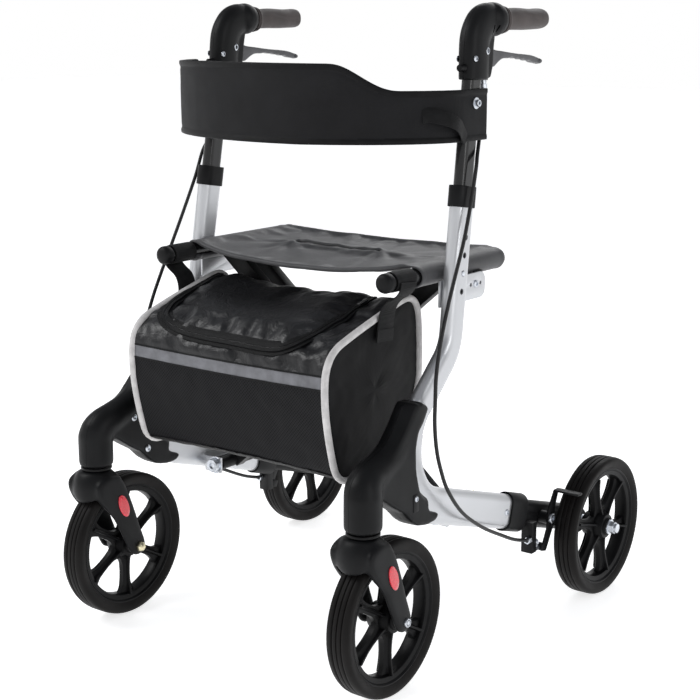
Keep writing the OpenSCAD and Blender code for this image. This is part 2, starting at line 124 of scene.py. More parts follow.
area("key", (-1.7, -1.3, 2.2), (0, 0, 0.4), (1.3, 1.3), 30)
area("side", (2.6, -0.5, 1.5), (0, 0, 0.45), (0.6, 1.8), 12)
area("rear", (-0.6, 2.4, 2.0), (0, 0, 0.4), (2.0, 1.0), 20)


# ---------------------------------------------------------------- materials
class Mat:
    """A Principled material; tint, gloss and bump take a socket, or the arguments of a noise pattern."""
    def __init__(self, name, color, rough=0.5, metal=0.0, coat=0.0, sheen=0.0, spec=0.5, coat_rough=0.1):
        self.m = bpy.data.materials.new(name)
        self.m.use_nodes = True
        self.t = self.m.node_tree
        self.b = self.t.nodes["Principled BSDF"]
        self.color = color
        self.set("Base Color", (*color, 1))
        self.set("Roughness", rough)
        self.set("Metallic", metal)
        self.set("Coat Weight", coat)
        self.set("Coat Roughness", coat_rough)
        self.set("Sheen Weight", sheen)
        self.set("Specular IOR Level", spec)
        self.uv = self.node("TexCoord").outputs["Object"]
        self.last_normal = None

    def set(self, name, v):
        self.b.inputs[name].default_value = v

    def node(self, kind, **kw):
        n = self.t.nodes.new("ShaderNode" + kind)
        for k, v in kw.items():
            setattr(n, k, v)
        return n

    def link(self, a, b):
        self.t.links.new(a, b)

    def turned(self, rotation):
        mapping = self.node("Mapping")
        mapping.inputs["Rotation"].default_value = rotation
        self.link(self.uv, mapping.inputs[0])
        return mapping.outputs[0]

    def pattern(self, p):
        if not isinstance(p, tuple):
            return p
        n = self.node("TexNoise")
        scale, detail, rough, distortion = p + (2.0, 0.5, 0.0)[len(p) - 1:]
        n.inputs["Scale"].default_value = scale
        n.inputs["Detail"].default_value = detail
        n.inputs["Roughness"].default_value = rough
        n.inputs["Distortion"].default_value = distortion
        self.link(self.uv, n.inputs["Vector"])
        return n.outputs["Fac"]

    def voronoi(self, scale):
        n = self.node("TexVoronoi")
        n.inputs["Scale"].default_value = scale
        self.link(self.uv, n.inputs["Vector"])
        return n.outputs["Distance"]

    def wave(self, scale, axis="X", at=None):
        n = self.node("TexWave", wave_type="BANDS", bands_direction=axis)
        n.inputs["Scale"].default_value = scale
        self.link(at or self.uv, n.inputs["Vector"])
        return n.outputs["Fac"]

    def math(self, op, a, b):
        n = self.node("Math", operation=op)
        for i, v in enumerate((a, b)):
            if isinstance(v, (int, float)):
                n.inputs[i].default_value = v
            else:
                self.link(v, n.inputs[i])
        return n.outputs[0]

    def bump(self, height, strength, distance=0.001):
        n = self.node("Bump")
        n.inputs["Strength"].default_value = strength
        n.inputs["Distance"].default_value = distance
        self.link(self.pattern(height), n.inputs["Height"])
        if self.last_normal is not None:
            self.link(self.last_normal, n.inputs["Normal"])
        self.last_normal = n.outputs[0]
        self.link(n.outputs[0], self.b.inputs["Normal"])
        return self

    def tint(self, fac, dark, light, lo=0.3, hi=0.7):
        n = self.node("ValToRGB")
        e = n.color_ramp.elements
        e[0].position, e[0].color = lo, (*[c * dark for c in self.color], 1)
        e[1].position, e[1].color = hi, (*[min(1, c * light) for c in self.color], 1)
        self.link(self.pattern(fac), n.inputs[0])
        self.link(n.outputs[0], self.b.inputs["Base Color"])
        return self

    def gloss(self, fac, lo, hi):
        n = self.node("MapRange")
        n.inputs["To Min"].default_value = lo
        n.inputs["To Max"].default_value = hi
        self.link(self.pattern(fac), n.inputs["Value"])
        self.link(n.outputs[0], self.b.inputs["Roughness"])
        return self


def threads(pitch):
    """The wave texture's scale for a pitch in metres between threads."""
    return math.pi / (10 * pitch)


def weave(m, pitch, x, y):
    """Plain weave from two wave textures."""
    return m.math("MAXIMUM", m.math("MULTIPLY", m.wave(threads(pitch), x), 0.9), m.wave(threads(pitch), y))


M = {}
q = M["silver"] = Mat("silver_paint", (0.6, 0.61, 0.63), 0.34, 0.72, coat=0.25, coat_rough=0.18)
q.tint((3.5, 3), 0.93, 1.05).gloss((11, 4), 0.28, 0.42)
q.bump(q.voronoi(2600), 0.05, 0.00004).bump((260, 2), 0.05, 0.0003)
q = M["gloss"] = Mat("gloss_black", (0.006, 0.006, 0.0065), 0.2, spec=0.35, coat=0.25, coat_rough=0.08)
q.tint((30, 3), 0.8, 1.3).gloss((60, 4), 0.16, 0.34).bump((700, 2), 0.06, 0.0002)
q = M["plastic"] = Mat("moulded_plastic", (0.006, 0.0062, 0.0068), 0.42, spec=0.16)
q.tint((24, 4), 0.75, 1.35).gloss((40, 4), 0.36, 0.54)
q.bump((2400, 3, 0.7), 0.22, 0.00012).bump((45, 2), 0.04, 0.0006)
q = M["rim"] = Mat("rim_plastic", (0.004, 0.004, 0.0044), 0.4, spec=0.13)
q.tint((30, 4), 0.7, 1.5).gloss((50, 4), 0.3, 0.5).bump((1900, 3, 0.6), 0.16, 0.00012)
q = M["grip"] = Mat("soft_grip", (0.064, 0.054, 0.052), 0.6, spec=0.3, sheen=0.08)
q.tint((35, 4), 0.8, 1.25).gloss((80, 4), 0.52, 0.72)
q.bump(q.voronoi(1500), 0.3, 0.00018).bump((160, 3), 0.06, 0.0004)
q = M["lever"] = Mat("lever_grey", (0.085, 0.085, 0.09), 0.42, 0.25)
q.tint((40, 4), 0.8, 1.2).gloss((60, 4), 0.34, 0.5).bump((1500, 3), 0.14, 0.00014)
q = M["zinc"] = Mat("zinc", (0.68, 0.71, 0.76), 0.26, 1.0)
q.tint((240, 5), 0.72, 1.12).gloss((420, 4), 0.18, 0.42).bump((1800, 3), 0.1, 0.0001)
q = M["zinc_yellow"] = Mat("zinc_yellow", (0.78, 0.72, 0.5), 0.3, 1.0)
q.tint((240, 5), 0.8, 1.12).gloss((420, 4), 0.2, 0.42).bump((1800, 3), 0.1, 0.0001)
q = M["tyre"] = Mat("tyre_rubber", (0.0065, 0.0057, 0.0055), 0.5, spec=0.14)
q.tint((22, 5), 0.7, 1.5).gloss((35, 5), 0.42, 0.68)
q.bump(q.wave(420, "X"), 0.06, 0.0001).bump((1300, 4, 0.7), 0.22, 0.00016)
q = M["reflector"] = Mat("reflector", (0.62, 0.012, 0.03), 0.18, coat=0.8)
q.tint(q.voronoi(650), 0.8, 1.25, 0.0, 0.8).bump(q.voronoi(650), 0.35, 0.0003)
q = M["steel_black"] = Mat("powder_coat", (0.005, 0.005, 0.0055), 0.42, spec=0.18, coat=0.03)
q.tint((50, 4), 0.8, 1.4).gloss((90, 4), 0.34, 0.52).bump((900, 2), 0.25, 0.0002)
q = M["cable"] = Mat("cable_jacket", (0.008, 0.008, 0.0085), 0.38, spec=0.35)
q.tint((300, 3), 0.8, 1.3).gloss((200, 3), 0.32, 0.48).bump((1200, 2), 0.15, 0.0001)
# painted shade: a dark plate stands in for the shade inside the cover's socket hole
q = M["painted_socket_shade"] = Mat("socket_shade", (0.02, 0.02, 0.022), 0.6, 0.6)
q.tint((500, 2), 0.7, 1.3)
# fabrics
q = M["seat"] = Mat("seat_fabric", (0.05, 0.05, 0.053), 0.46, sheen=0.06, spec=0.45)
q.tint((16, 6, 0.6), 0.72, 1.3).gloss((60, 4), 0.4, 0.6)
q.bump(weave(q, 0.0009, "X", "Y"), 0.28, 0.0002).bump((70, 5, 0.65, 0.8), 0.3, 0.0012)
q = M["hem"] = Mat("hem_binding", (0.006, 0.006, 0.0065), 0.55, spec=0.15, sheen=0.02)
q.tint((50, 4), 0.7, 1.4).bump(weave(q, 0.0007, "X", "Y"), 0.4, 0.0003)
q = M["nylon"] = Mat("crinkled_nylon", (0.0055, 0.0055, 0.0065), 0.3, spec=0.42)
q.tint((20, 6, 0.6), 0.7, 1.5).gloss((48, 6, 0.7), 0.26, 0.46)
q.bump((52, 5, 0.6, 1.2), 0.6, 0.003).bump(weave(q, 0.0006, "X", "Y"), 0.1, 0.0001)
q = M["panel"] = Mat("side_panel", (0.0065, 0.0065, 0.007), 0.55, spec=0.14, sheen=0.01)
q.tint((9, 5), 0.75, 1.3).gloss((30, 4), 0.46, 0.62)
q.bump(weave(q, 0.0006, "Y", "Z"), 0.2, 0.00012).bump((14, 3), 0.16, 0.002)
q = M["piping"] = Mat("piping", (0.62, 0.605, 0.6), 0.55, sheen=0.3)
q.tint((90, 4), 0.82, 1.12).bump(q.wave(300, "DIAGONAL"), 0.35, 0.0002)
q = M["tape"] = Mat("reflective_tape", (0.15, 0.152, 0.165), 0.36, 0.25)
q.tint((70, 5), 0.8, 1.25).gloss((30, 3), 0.3, 0.44).bump(q.voronoi(1800), 0.2, 0.0001)
q = M["webbing"] = Mat("webbing", (0.008, 0.008, 0.0085), 0.62, spec=0.15, sheen=0.02)
q.tint((80, 4), 0.7, 1.5).bump(q.math("MULTIPLY", q.wave(260, "Z"), q.wave(420, "X")), 0.6, 0.0004)
q = M["band"] = Mat("band_fabric", (0.008, 0.008, 0.009), 0.6, spec=0.15, sheen=0.02)
q.tint((12, 5, 0.6), 0.78, 1.3).gloss((40, 3), 0.54, 0.7)
q.bump(weave(q, 0.0012, "X", "Z"), 0.55, 0.0004).bump((26, 3), 0.16, 0.0012)
q = M["binding"] = Mat("band_binding", (0.0045, 0.0045, 0.005), 0.5, spec=0.13, sheen=0.01)
q.tint((70, 4), 0.75, 1.4).bump(q.wave(330, "Z"), 0.4, 0.0003)
q = M["zip"] = Mat("zip_tape", (0.004, 0.004, 0.0043), 0.45, spec=0.16)
q.tint((80, 4), 0.7, 1.5).bump(q.wave(420, "X"), 0.4, 0.0003)
q = M["zip_teeth"] = Mat("zip_teeth", (0.012, 0.012, 0.013), 0.25, coat=0.2)
q.tint((300, 2), 0.8, 1.3).bump(q.wave(520, "DIAGONAL"), 0.8, 0.0005)
# mesh cloth: rows of holes between threads that run both ways
q = M["mesh"] = Mat("mesh_cloth", (0.004, 0.004, 0.0045), 0.5, spec=0.1)
diagonal = q.turned((0, math.radians(45), 0))
cells = q.math("MULTIPLY", q.wave(threads(0.0032), "X", diagonal), q.wave(threads(0.0032), "Z", diagonal))
q.tint(cells, 3.4, 0.2, 0.05, 0.45).bump(cells, -0.8, 0.0009)
# floor
q = M["floor"] = Mat("floor", (0.86, 0.86, 0.86), 0.6, spec=0.1)
q.set("Emission Color", (1, 1, 1, 1))
q.set("Emission Strength", 0.7)
q.tint((1.2, 3), 0.995, 1.01).bump((60, 3), 0.01, 0.001)
floor.data.materials.append(q.m)
NODE_MAT = {"frame_silver": "silver", "black_tube": "gloss", "black_plastic": "plastic", "grip": "grip",
            "lever": "lever", "zinc": "zinc", "tyre": "tyre", "rim": "rim", "reflector": "reflector",
            "cable": "cable", "seat_fabric": "seat", "bag_fabric": "nylon", "strap_fabric": "band"}


# ---------------------------------------------------------------- mesh helpers
def lean(x, y, z):
    """Side plane of the right side, mm, to the row frame, metres."""
    return V(((FOOT[0] + x * math.cos(LEAN) - z * math.sin(LEAN)) * MM, y * MM,
              (x * math.sin(LEAN) + z * math.cos(LEAN)) * MM))


LEAN_M = Matrix.Translation((FOOT[0] * MM, 0, 0)) @ Matrix.Rotation(-LEAN, 4, "Y")
OUTWARD = LEAN_M.to_3x3() @ V((1, 0, 0))


def piece(name, verts, faces, mat, smooth=35):
    me = bpy.data.meshes.new(name)
    me.from_pydata([tuple(v) for v in verts], [], [tuple(f) for f in faces])
    me.update()
    b = bmesh.new()
    b.from_mesh(me)
    bmesh.ops.recalc_face_normals(b, faces=b.faces)
    b.to_mesh(me)
    b.free()
    return finish_piece(bpy.data.objects.new(name, me), mat, smooth)


def finish_piece(o, mat, smooth):
    scene.collection.objects.link(o)
    if mat:
        o.data.materials.clear()
        o.data.materials.append(M[mat].m)
    shade(o, smooth)
    return o


def shade(o, angle):
    o.data.shade_smooth()
    if angle:
        o.data.set_sharp_from_angle(angle=math.radians(angle))


def bake(o):
    bpy.context.view_layer.update()
    dg = bpy.context.evaluated_depsgraph_get()
    me = bpy.data.meshes.new_from_object(o.evaluated_get(dg))
    mats = list(o.data.materials)
    o.modifiers.clear()
    o.data = me
    if not me.materials:
        for m in mats:
            me.materials.append(m)
    return o


def bevel(o, width, segments, angle=30):
    b = o.modifiers.new("b", "BEVEL")
    b.width, b.segments, b.limit_method, b.angle_limit = width, segments, "ANGLE", math.radians(angle)
    return bake(o)


def subdivide(o):
    s = o.modifiers.new("s", "SUBSURF")
    s.levels = s.render_levels = 1
    return bake(o)


def remesh(o, voxel, smooth):
    r = o.modifiers.new("r", "REMESH")
    r.mode, r.voxel_size, r.adaptivity = "VOXEL", voxel, 0
    s = o.modifiers.new("s", "SMOOTH")
    s.factor, s.iterations = 0.5, smooth
    return bake(o)


def cut_away(o, tool):
    """Subtracts the tool from the piece, and deletes the tool."""
    m = o.modifiers.new("c", "BOOLEAN")
    m.operation, m.object, m.solver = "DIFFERENCE", tool, "EXACT"
    bake(o)
    bpy.data.objects.remove(tool)


def join(name, objs, mat=None, smooth=35):
    """One object out of several, each keeping its own materials."""
    b = bmesh.new()
    mats = []
    for o in objs:
        first = len(b.faces)
        b.from_mesh(o.data)
        b.faces.ensure_lookup_table()
        own = list(o.data.materials)
        mats += [m for m in own if m not in mats]
        for f in b.faces[first:]:
            f.material_index = mats.index(own[f.material_index])
    me = bpy.data.meshes.new(name)
    b.to_mesh(me)
    b.free()
    for m in mats:
        me.materials.append(m)
    for o in objs:
        bpy.data.objects.remove(o)
    return finish_piece(bpy.data.objects.new(name, me), mat, smooth)


def mirrored(o, name):
    c = o.copy()
    c.data = o.data.copy()
    c.name = name
    scene.collection.objects.link(c)
    c.data.transform(Matrix.Scale(-1, 4, (1, 0, 0)))
    c.data.flip_normals()
    return c


def both(name, right, node, smooth=35):
    """Mirrors the right side's piece; each replaces its own side's node and rides that node's body."""
    right.name = "right_" + name
    for side, o in (("right", right), ("left", mirrored(right, "left_" + name))):
        shade(o, smooth)
        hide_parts(side + "_" + node)
        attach(o, BODY[side + "_" + node])


def lathe(name, prof, mat, axis, at, n, smooth=30, closed=False, matrix=None):
    """Turns (distance along the axis, radius) points, in mm, round an axis through at, in mm.

    A closed profile is a ring's whole section; an open one starts and ends on the axis or in a flat face."""
    ax = V(axis).normalized()
    u = ax.orthogonal().normalized()
    w = ax.cross(u)
    vs, fs, k = [], [], len(prof)
    for i in range(n):
        a = 2 * math.pi * i / n
        d = u * math.cos(a) + w * math.sin(a)
        for h, r in prof:
            vs.append((V(at) + ax * h + d * max(r, 0.001)) * MM)
    for i in range(n):
        j = (i + 1) % n
        for m in range(k if closed else k - 1):
            p = (m + 1) % k
            fs.append((i * k + m, j * k + m, j * k + p, i * k + p))
    if not closed:
        fs.append([i * k for i in range(n)][::-1])
        fs.append([i * k + k - 1 for i in range(n)])
    o = piece(name, vs, fs, mat, smooth)
    if matrix:
        o.data.transform(matrix)
    return o


def plate(name, outline, x0, x1, mat, bev=0.0, seg=1, matrix=None):
    """A side view outline (y, z) in mm, from x0 to x1, with rounded edges."""
    n = len(outline)
    vs = [(x0 * MM, y * MM, z * MM) for y, z in outline] + [(x1 * MM, y * MM, z * MM) for y, z in outline]
    fs = [list(range(n)), list(range(n, 2 * n))[::-1]]
    fs += [(i, (i + 1) % n, n + (i + 1) % n, n + i) for i in range(n)]
    o = piece(name, vs, fs, mat)
    if bev:
        bevel(o, bev * MM, seg)
    if matrix:
        o.data.transform(matrix)
    return o


def smooth_outline(pts, n):
    """Closed Catmull-Rom curve through the points, n steps between two of them."""
    out, k = [], len(pts)
    for i in range(k):
        p = [V(pts[(i + j) % k]) for j in (-1, 0, 1, 2)]
        for t in (s / n for s in range(n)):
            out.append(catmull(p, t))
    return out


def catmull(p, t):
    return 0.5 * ((2 * p[1]) + (p[2] - p[0]) * t + (2 * p[0] - 5 * p[1] + 4 * p[2] - p[3]) * t * t
                  + (3 * p[1] - p[0] - 3 * p[2] + p[3]) * t ** 3)


def path(pts, n):
    """Catmull-Rom curve through the points, n steps between two of them."""
    pts = [V(p) for p in pts]
    ext = [2 * pts[0] - pts[1]] + pts + [2 * pts[-1] - pts[-2]]
    out = []
    for i in range(len(pts) - 1):
        for s in range(n):
            out.append(catmull(ext[i:i + 4], s / n))
    return out + [pts[-1]]


def neighbours(pts, i, closed=False):
    """The points before and after point i; an open curve's ends are their own neighbours."""
    n = len(pts)
    return (pts[i - 1], pts[(i + 1) % n]) if closed else (pts[max(i - 1, 0)], pts[min(i + 1, n - 1)])


def between(row, t):
    """A value of the row at t from 0 to 1, straight between two neighbours."""
    t *= len(row) - 1
    i = min(int(t), len(row) - 2)
    return row[i] + (row[i + 1] - row[i]) * (t - i)


def sweep(name, pts, section, mat, smooth=40, closed=False, scale=None):
    """Carries a section (list of (a, b) in mm; a along X) along points in mm."""
    pts = [V(p) for p in pts]
    n, k = len(pts), len(section)
    vs, fs = [], []
    u = V((1, 0, 0))
    for i, p in enumerate(pts):
        a, b = neighbours(pts, i, closed)
        d = (b - a).normalized()
        u = (u - d * u.dot(d)).normalized()
        w = d.cross(u)
        sc = scale(i / (n - 1)) if scale else (1, 1)
        for s, t in section:
            vs.append((p + u * s * sc[0] + w * t * sc[1]) * MM)
    for i in range(n if closed else n - 1):
        j = (i + 1) % n
        for m in range(k):
            q = (m + 1) % k
            fs.append((i * k + m, i * k + q, j * k + q, j * k + m))
    if not closed:
        fs.append(list(range(k))[::-1])
        fs.append([(n - 1) * k + m for m in range(k)])
    return piece(name, vs, fs, mat, smooth)


def ring(r, n, r2=None):
    return [(r * math.cos(2 * math.pi * i / n), (r2 or r) * math.sin(2 * math.pi * i / n)) for i in range(n)]


def soften(node, width, seg=2, mat=None):
    """The CAD node's shape with rounded edges and its own material."""
    o = bpy.data.objects.new(node + "_body", frame["nodes"][node].data.copy())
    scene.collection.objects.link(o)
    b = bmesh.new()
    b.from_mesh(o.data)
    bmesh.ops.remove_doubles(b, verts=b.verts, dist=2e-6)
    bmesh.ops.dissolve_limit(b, angle_limit=math.radians(0.6), verts=b.verts, edges=b.edges)
    b.to_mesh(o.data)
    b.free()
    o.data.materials.clear()
    o.data.materials.append(M[mat or NODE_MAT[SLOT[node]]].m)
    bevel(o, width * MM, seg, 32)
    shade(o, 40)
    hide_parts(node)
    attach(o, BODY[node])
    return o


def screw(at, axis, r, h, hexr=None, n=28):
    """Button head, or with hexr a flat one, with a hexagon socket, in mm; it stands on at, towards axis."""
    ax = V(axis).normalized()
    u = ax.orthogonal().normalized()
    w = ax.cross(u)
    turns = [2 * math.pi * i / n for i in range(n)]
    prof = ([(0, r), (h * 0.8, r), (h, r * 0.93), (h, r * 0.7)] if hexr
            else [(0, r), (h * 0.35, r * 0.99), (h * 0.7, r * 0.86), (h, r * 0.62)])
    rings = [[(hh, rr, a) for a in turns] for hh, rr in prof]

    def hexagon(a):
        return (hexr or r * 0.5) / math.cos((a % (math.pi / 3)) - math.pi / 6)

    for hh, size in ((h, 1.0), (h * 0.35, 1.0), (h * 0.3, 0.05)):
        rings.append([(hh, hexagon(a) * size, a) for a in turns])
    vs = [(V(at) + ax * hh + (u * math.cos(a) + w * math.sin(a)) * rr) * MM for rg in rings for hh, rr, a in rg]
    fs = []
    for k in range(len(rings) - 1):
        for i in range(n):
            j = (i + 1) % n
            fs.append((k * n + i, k * n + j, (k + 1) * n + j, (k + 1) * n + i))
    fs.append(list(range(n))[::-1])
    fs.append([(len(rings) - 1) * n + i for i in range(n)])
    return piece("screw", vs, fs, "zinc")


# ---------------------------------------------------------------- CAD nodes that stay, and the softened ones
for n, o in frame["nodes"].items():
    o.data.materials.clear()
    o.data.materials.append(M[NODE_MAT[SLOT[n]]].m)
for s in ("left", "right"):
    soften(s + "_tube_sleeves", 1.2, 3)
    soften(s + "_rear_leg", 1.2, 2, mat="steel_black")
    soften(s + "_bracket", 0.5, 2)
    soften(s + "_seat_cradle", 1.0, 2)
    soften(s + "_rear_axle", 0.5, 2)
for n in ("brace_a", "brace_b"):
    soften(n, 2.6, 3, mat="steel_black")


# ---------------------------------------------------------------- corner cover
def cover():
    outline = [(-262, 262), (-262, 290), (-246, 297), (-222, 314), (-200, 336), (-180, 361), (-174, 357),
               (-171, 361), (-153, 350), (-166, 331), (-176, 322), (-181.5, 303), (-181, 271), (-174, 244),
               (-152, 216), (-131, 208), (-140, 200), (-158, 199), (-178, 203), (-192, 212), (-208, 227),
               (-230, 240), (-248, 252)]
    a = plate("a", outline, -16, 17.5, "plastic", 7, 3, LEAN_M)
    b = lathe("b", [(0, 22.6), (1, 23.4), (44, 23.4), (46, 22), (46, 0)], "plastic", (0, 0, 1),
              (CASTER[0], STEER_Y, 223), 48)
    spine = path([(-278.5, 262), (-276, 272), (-266, 281), (-249, 287), (-228, 294), (-208, 306), (-192, 324),
                  (-177, 346)], 4)
    size = [23.4, 23.0, 21.8, 20.4, 19.2, 18.2, 17.2, 16.4]
    deep = [23.4, 22.4, 20.6, 19.6, 19.6, 19.4, 18.6, 17.4]
    pts = []
    for i, p in enumerate(spine):
        q = lean(0, p.x, p.y) / MM
        q.x += (CASTER[0] - q.x) * max(0, 1 - i / 10)
        pts.append(q)
    arm = sweep("arm", pts, ring(1, 28), "plastic", scale=lambda t: (between(size, t), between(deep, t)))
    knee = [lean(0, p.x, p.y) / MM for p in
            path([(-172, 350), (-186, 328), (-196, 300), (-194, 264), (-180, 238), (-158, 220)], 4)]
    c = sweep("c", knee, ring(17, 24, 17.5), "plastic")
    return remesh(join("cover", [a, b, arm, c]), 0.0021, 22)


def halves(o, x):
    """Cuts a piece at x, in metres, in the lean plane, and leaves a shadow gap."""
    out = []
    for sign in (1, -1):
        b = bmesh.new()
        b.from_mesh(o.data)
        n = LEAN_M.to_3x3() @ V((sign, 0, 0))
        p = LEAN_M @ V((x + sign * SEAM_GAP / 2, 0, 0))
        g = bmesh.ops.bisect_plane(b, geom=b.verts[:] + b.edges[:] + b.faces[:], dist=1e-6, plane_co=p,
                                   plane_no=n, clear_inner=True)
        edges = [e for e in g["geom_cut"] if isinstance(e, bmesh.types.BMEdge)]
        bmesh.ops.holes_fill(b, edges=edges, sides=0)
        me = bpy.data.meshes.new("half")
        b.to_mesh(me)
        b.free()
        out.append(finish_piece(bpy.data.objects.new("half", me), "plastic", 40))
    bpy.data.objects.remove(o)
    return out


outer, inner = halves(cover(), -0.00001)
# block with its screw in the cover's recess by the rail
block = plate("block", [(-193, 224), (-181, 224), (-181, 247), (-193, 247)], 1, 18.5, "steel_black", 1.5, 2,
              LEAN_M)
rib = plate("rib", [(-197, 219), (-178, 219), (-176, 250), (-196, 252)], 0, 16.5, "plastic", 2.5, 3, LEAN_M)
block_screw = screw(lean(18.5, -187, 241) / MM, OUTWARD, 3.6, 1.6)
both("cover_outer_shell", join("o", [outer, block, rib, block_screw]), "cover_outer")
# the socket: a dark plate on the inner face, painted shade in place of the hole's depth
socket = plate("socket", [(-214, 262), (-206, 262), (-206, 270), (-214, 270)], -16.6, -14, "painted_socket_shade", 0.8,
               2, LEAN_M)
both("cover_inner_shell", join("i", [inner, socket]), "cover_inner")


# ---------------------------------------------------------------- screws of the frame
def frame_screws():
    x, y, z = BRACE_PIN
    parts = [screw((203.2, -3, 479.5), (1, 0, 0), 5, 2.4), screw(lean(12, 36, 163) / MM, OUTWARD, 4.6, 1.8)]
    parts += [screw(lean(-16, *p) / MM, -OUTWARD, 5, 2.2) for p in ((-226, 282), (-200, 232))]
    parts.append(lathe("pin", [(0, 6), (104, 6)], "zinc", (0, 1, 0), (x, y - 6, z), 32))
    parts.append(screw(BRACE_PIN, (0, -1, 0), 10, 8, hexr=4.5))
    parts.append(lathe("washer", [(-1.4, 0), (-1.4, 12.5), (0, 12.5), (0, 0)], "zinc", (0, 1, 0), BRACE_PIN,
                       40))
    parts.append(lathe("nut", [(17.2, 0), (17.2, 9.5), (18.5, 10.4), (23, 10.4), (24.5, 8.6), (26.5, 6.5),
                               (27, 0)], "zinc_yellow", (0, 1, 0), (x, 0, z), 6, 20))
    return join("s", parts)


both("frame_fasteners", frame_screws(), "frame_screws")


# ---------------------------------------------------------------- casters
def fork():
    leg = [(-303, 205), (-305, 192), (-298, 176), (-287, 162), (-275, 147), (-262, 122), (-250, 97), (-243, 89),
           (-233, 86), (-224, 89), (-219, 97), (-220, 108), (-229, 131), (-239, 160), (-250, 187), (-261, 206),
           (-282, 213)]
    middle = Matrix.Translation((CASTER[0] * MM, 0, 0))
    parts = [plate("l", smooth_outline(leg, 3), x, x + 9, "plastic", 3, 3, middle) for x in (-32.3, 23.3)]
    bulb = [(-12, 0), (-9, 16), (-2, 24), (7, 29), (17, 31), (26, 30.6), (34, 28.4), (40, 25), (43, 22.6),
            (44.5, 21.4), (45, 0)]
    parts.append(lathe("bulb", bulb, "plastic", (0, 0, 1), (CASTER[0], STEER_Y - 3, 173), 56))
    x, y, z = CASTER
    bow = [math.radians(a) for a in range(105, 133, 4)]
    parts.append(sweep("lip", [(x, y + 112.5 * math.cos(t), z + 112.5 * math.sin(t)) for t in bow],
                       ring(30.5, 28, 9), "plastic", scale=lambda t: (1 - 0.1 * t * t, 1 - 0.35 * t * t)))
    o = remesh(join("f", parts), 0.0021, 26)
    cut = lathe("cut", [(-23.0, 0), (-23.0, 104), (-20, 106.6), (20, 106.6), (23.0, 104), (23.0, 0)], "plastic",
                (1, 0, 0), CASTER, 72)
    cut_away(o, cut)
    remesh(o, 0.0018, 4)
    o.data.materials.clear()
    o.data.materials.append(M["plastic"].m)
    return o


both("fork_shell", fork(), "fork", 60)


def caster_bolts():
    x, y, z = CASTER
    parts = [lathe("axle", [(-35, 4), (35, 4)], "zinc", (1, 0, 0), CASTER, 24),
             screw((x + 32, y, z), (1, 0, 0), 5.6, 3.0, hexr=2.8),
             lathe("cap", [(-32.6, 0), (-32.6, 7.4), (-35.5, 7.4), (-38.2, 5.6), (-39.6, 2.6), (-40, 0)],
                   "zinc_yellow", (1, 0, 0), CASTER, 6, 25),
             lathe("pin", [(204, 5), (219, 5)], "zinc", (0, 0, 1), (x, STEER_Y, 0), 24),
             lathe("neck", [(218.6, 0), (218.6, 20.6), (219.2, 21), (221.2, 21), (221.8, 20.6), (221.8, 0)],
                   "steel_black", (0, 0, 1), (x, STEER_Y, 0), 56)]
    return join("b", parts)


both("caster_fasteners", caster_bolts(), "caster_bolts")


def reflectors():
    out = []
    for side in (-1, 1):
        place = (Matrix.Translation((0.2255 + 33.0 * side * MM, -0.261, 0.166))
                 @ Matrix.Rotation(math.radians(22), 4, "X") @ Matrix.Diagonal((1, 1.3, 2.75, 1)))
        dome = [(-1.5, 0), (-1.5, 6.3), (0.2, 6.3), (0.8, 5.9), (1.05, 4), (1.15, 0)]
        out.append(lathe("r", [(h * side, r) for h, r in dome], "reflector", (1, 0, 0), (0, 0, 0), 48,
                         matrix=place))
    return join("r", out)


both("reflector_lens", reflectors(), "reflectors")


# ---------------------------------------------------------------- wheels
def tyre(at):
    half = [(13.2, 84), (14.6, 86.5), (16.2, 90), (17, 93.5), (16.8, 96), (15.4, 98.2), (13, 99.4), (10, 99.9),
            (8.3, 100), (7.7, 99.5), (7.2, 98.2), (6.6, 98.2), (6.1, 99.5), (5.5, 100), (3, 100), (1, 100),
            (0.6, 99.4), (0.25, 98.3)]
    prof = half + [(-a, r) for a, r in reversed(half)]
    return lathe("t", prof, "tyre", (1, 0, 0), at, 144, 50, closed=True)


def rim(at, turn, bore):
    edge = [(13.4, 84.2), (13.6, 82.6), (12.4, 81.2), (11.2, 80.4), (10.8, 77.5), (9.8, 74.4), (7, 73.2)]
    parts = [lathe("barrel", edge + [(-a, r) for a, r in reversed(edge)], "rim", (1, 0, 0), at, 144, 50,
                   closed=True)]
    hub = [(-20, bore), (-20, 11), (-18.8, 12.4), (-16.5, 13), (-15.8, 17), (-9, 19.5), (-6, 21), (6, 21),
           (9, 19.5), (15.8, 17), (16.5, 13), (18.8, 12.4), (20, 11), (20, bore)]
    parts.append(lathe("hub", hub, "rim", (1, 0, 0), at, 72, 40, closed=True))
    for i in range(6):
        a = turn + i * math.pi / 3
        d, w = V((0, math.cos(a), math.sin(a))), V((0, -math.sin(a), math.cos(a)))
        vs, fs = [], []
        radii = [15, 20, 24, 29, 36, 45, 54, 61, 66, 70, 73, 75]
        for r in radii:
            t = (r - 15) / 60
            half = 6.4 + 9.5 * max(0, (0.32 - t) / 0.32) ** 1.6 + 9.0 * max(0, (t - 0.62) / 0.38) ** 1.9
            rib = 12.5 - 3.2 * math.sin(math.pi * min(1, t * 1.02))
            quarter = [(half, 3.4), (half - 1.2, 4.2), (3.0, 5.2), (2.1, 6.4), (1.7, rib - 0.6), (1.1, rib)]
            top = [(-s, h) for s, h in quarter] + quarter[::-1]
            bottom = [(-s, -h) for s, h in top]
            sec = bottom[-1:] + top + bottom[:-1]
            for s, h in sec:
                vs.append((V(at) + d * r + w * s + V((h, 0, 0))) * MM)
        k = len(sec)
        for j in range(len(radii) - 1):
            for m in range(k):
                p = (m + 1) % k
                fs.append((j * k + m, j * k + p, (j + 1) * k + p, (j + 1) * k + m))
        fs += [list(range(k)), [(len(radii) - 1) * k + m for m in range(k)][::-1]]
        parts.append(piece("sp", vs, fs, "rim", 40))
    return join("rim", parts)


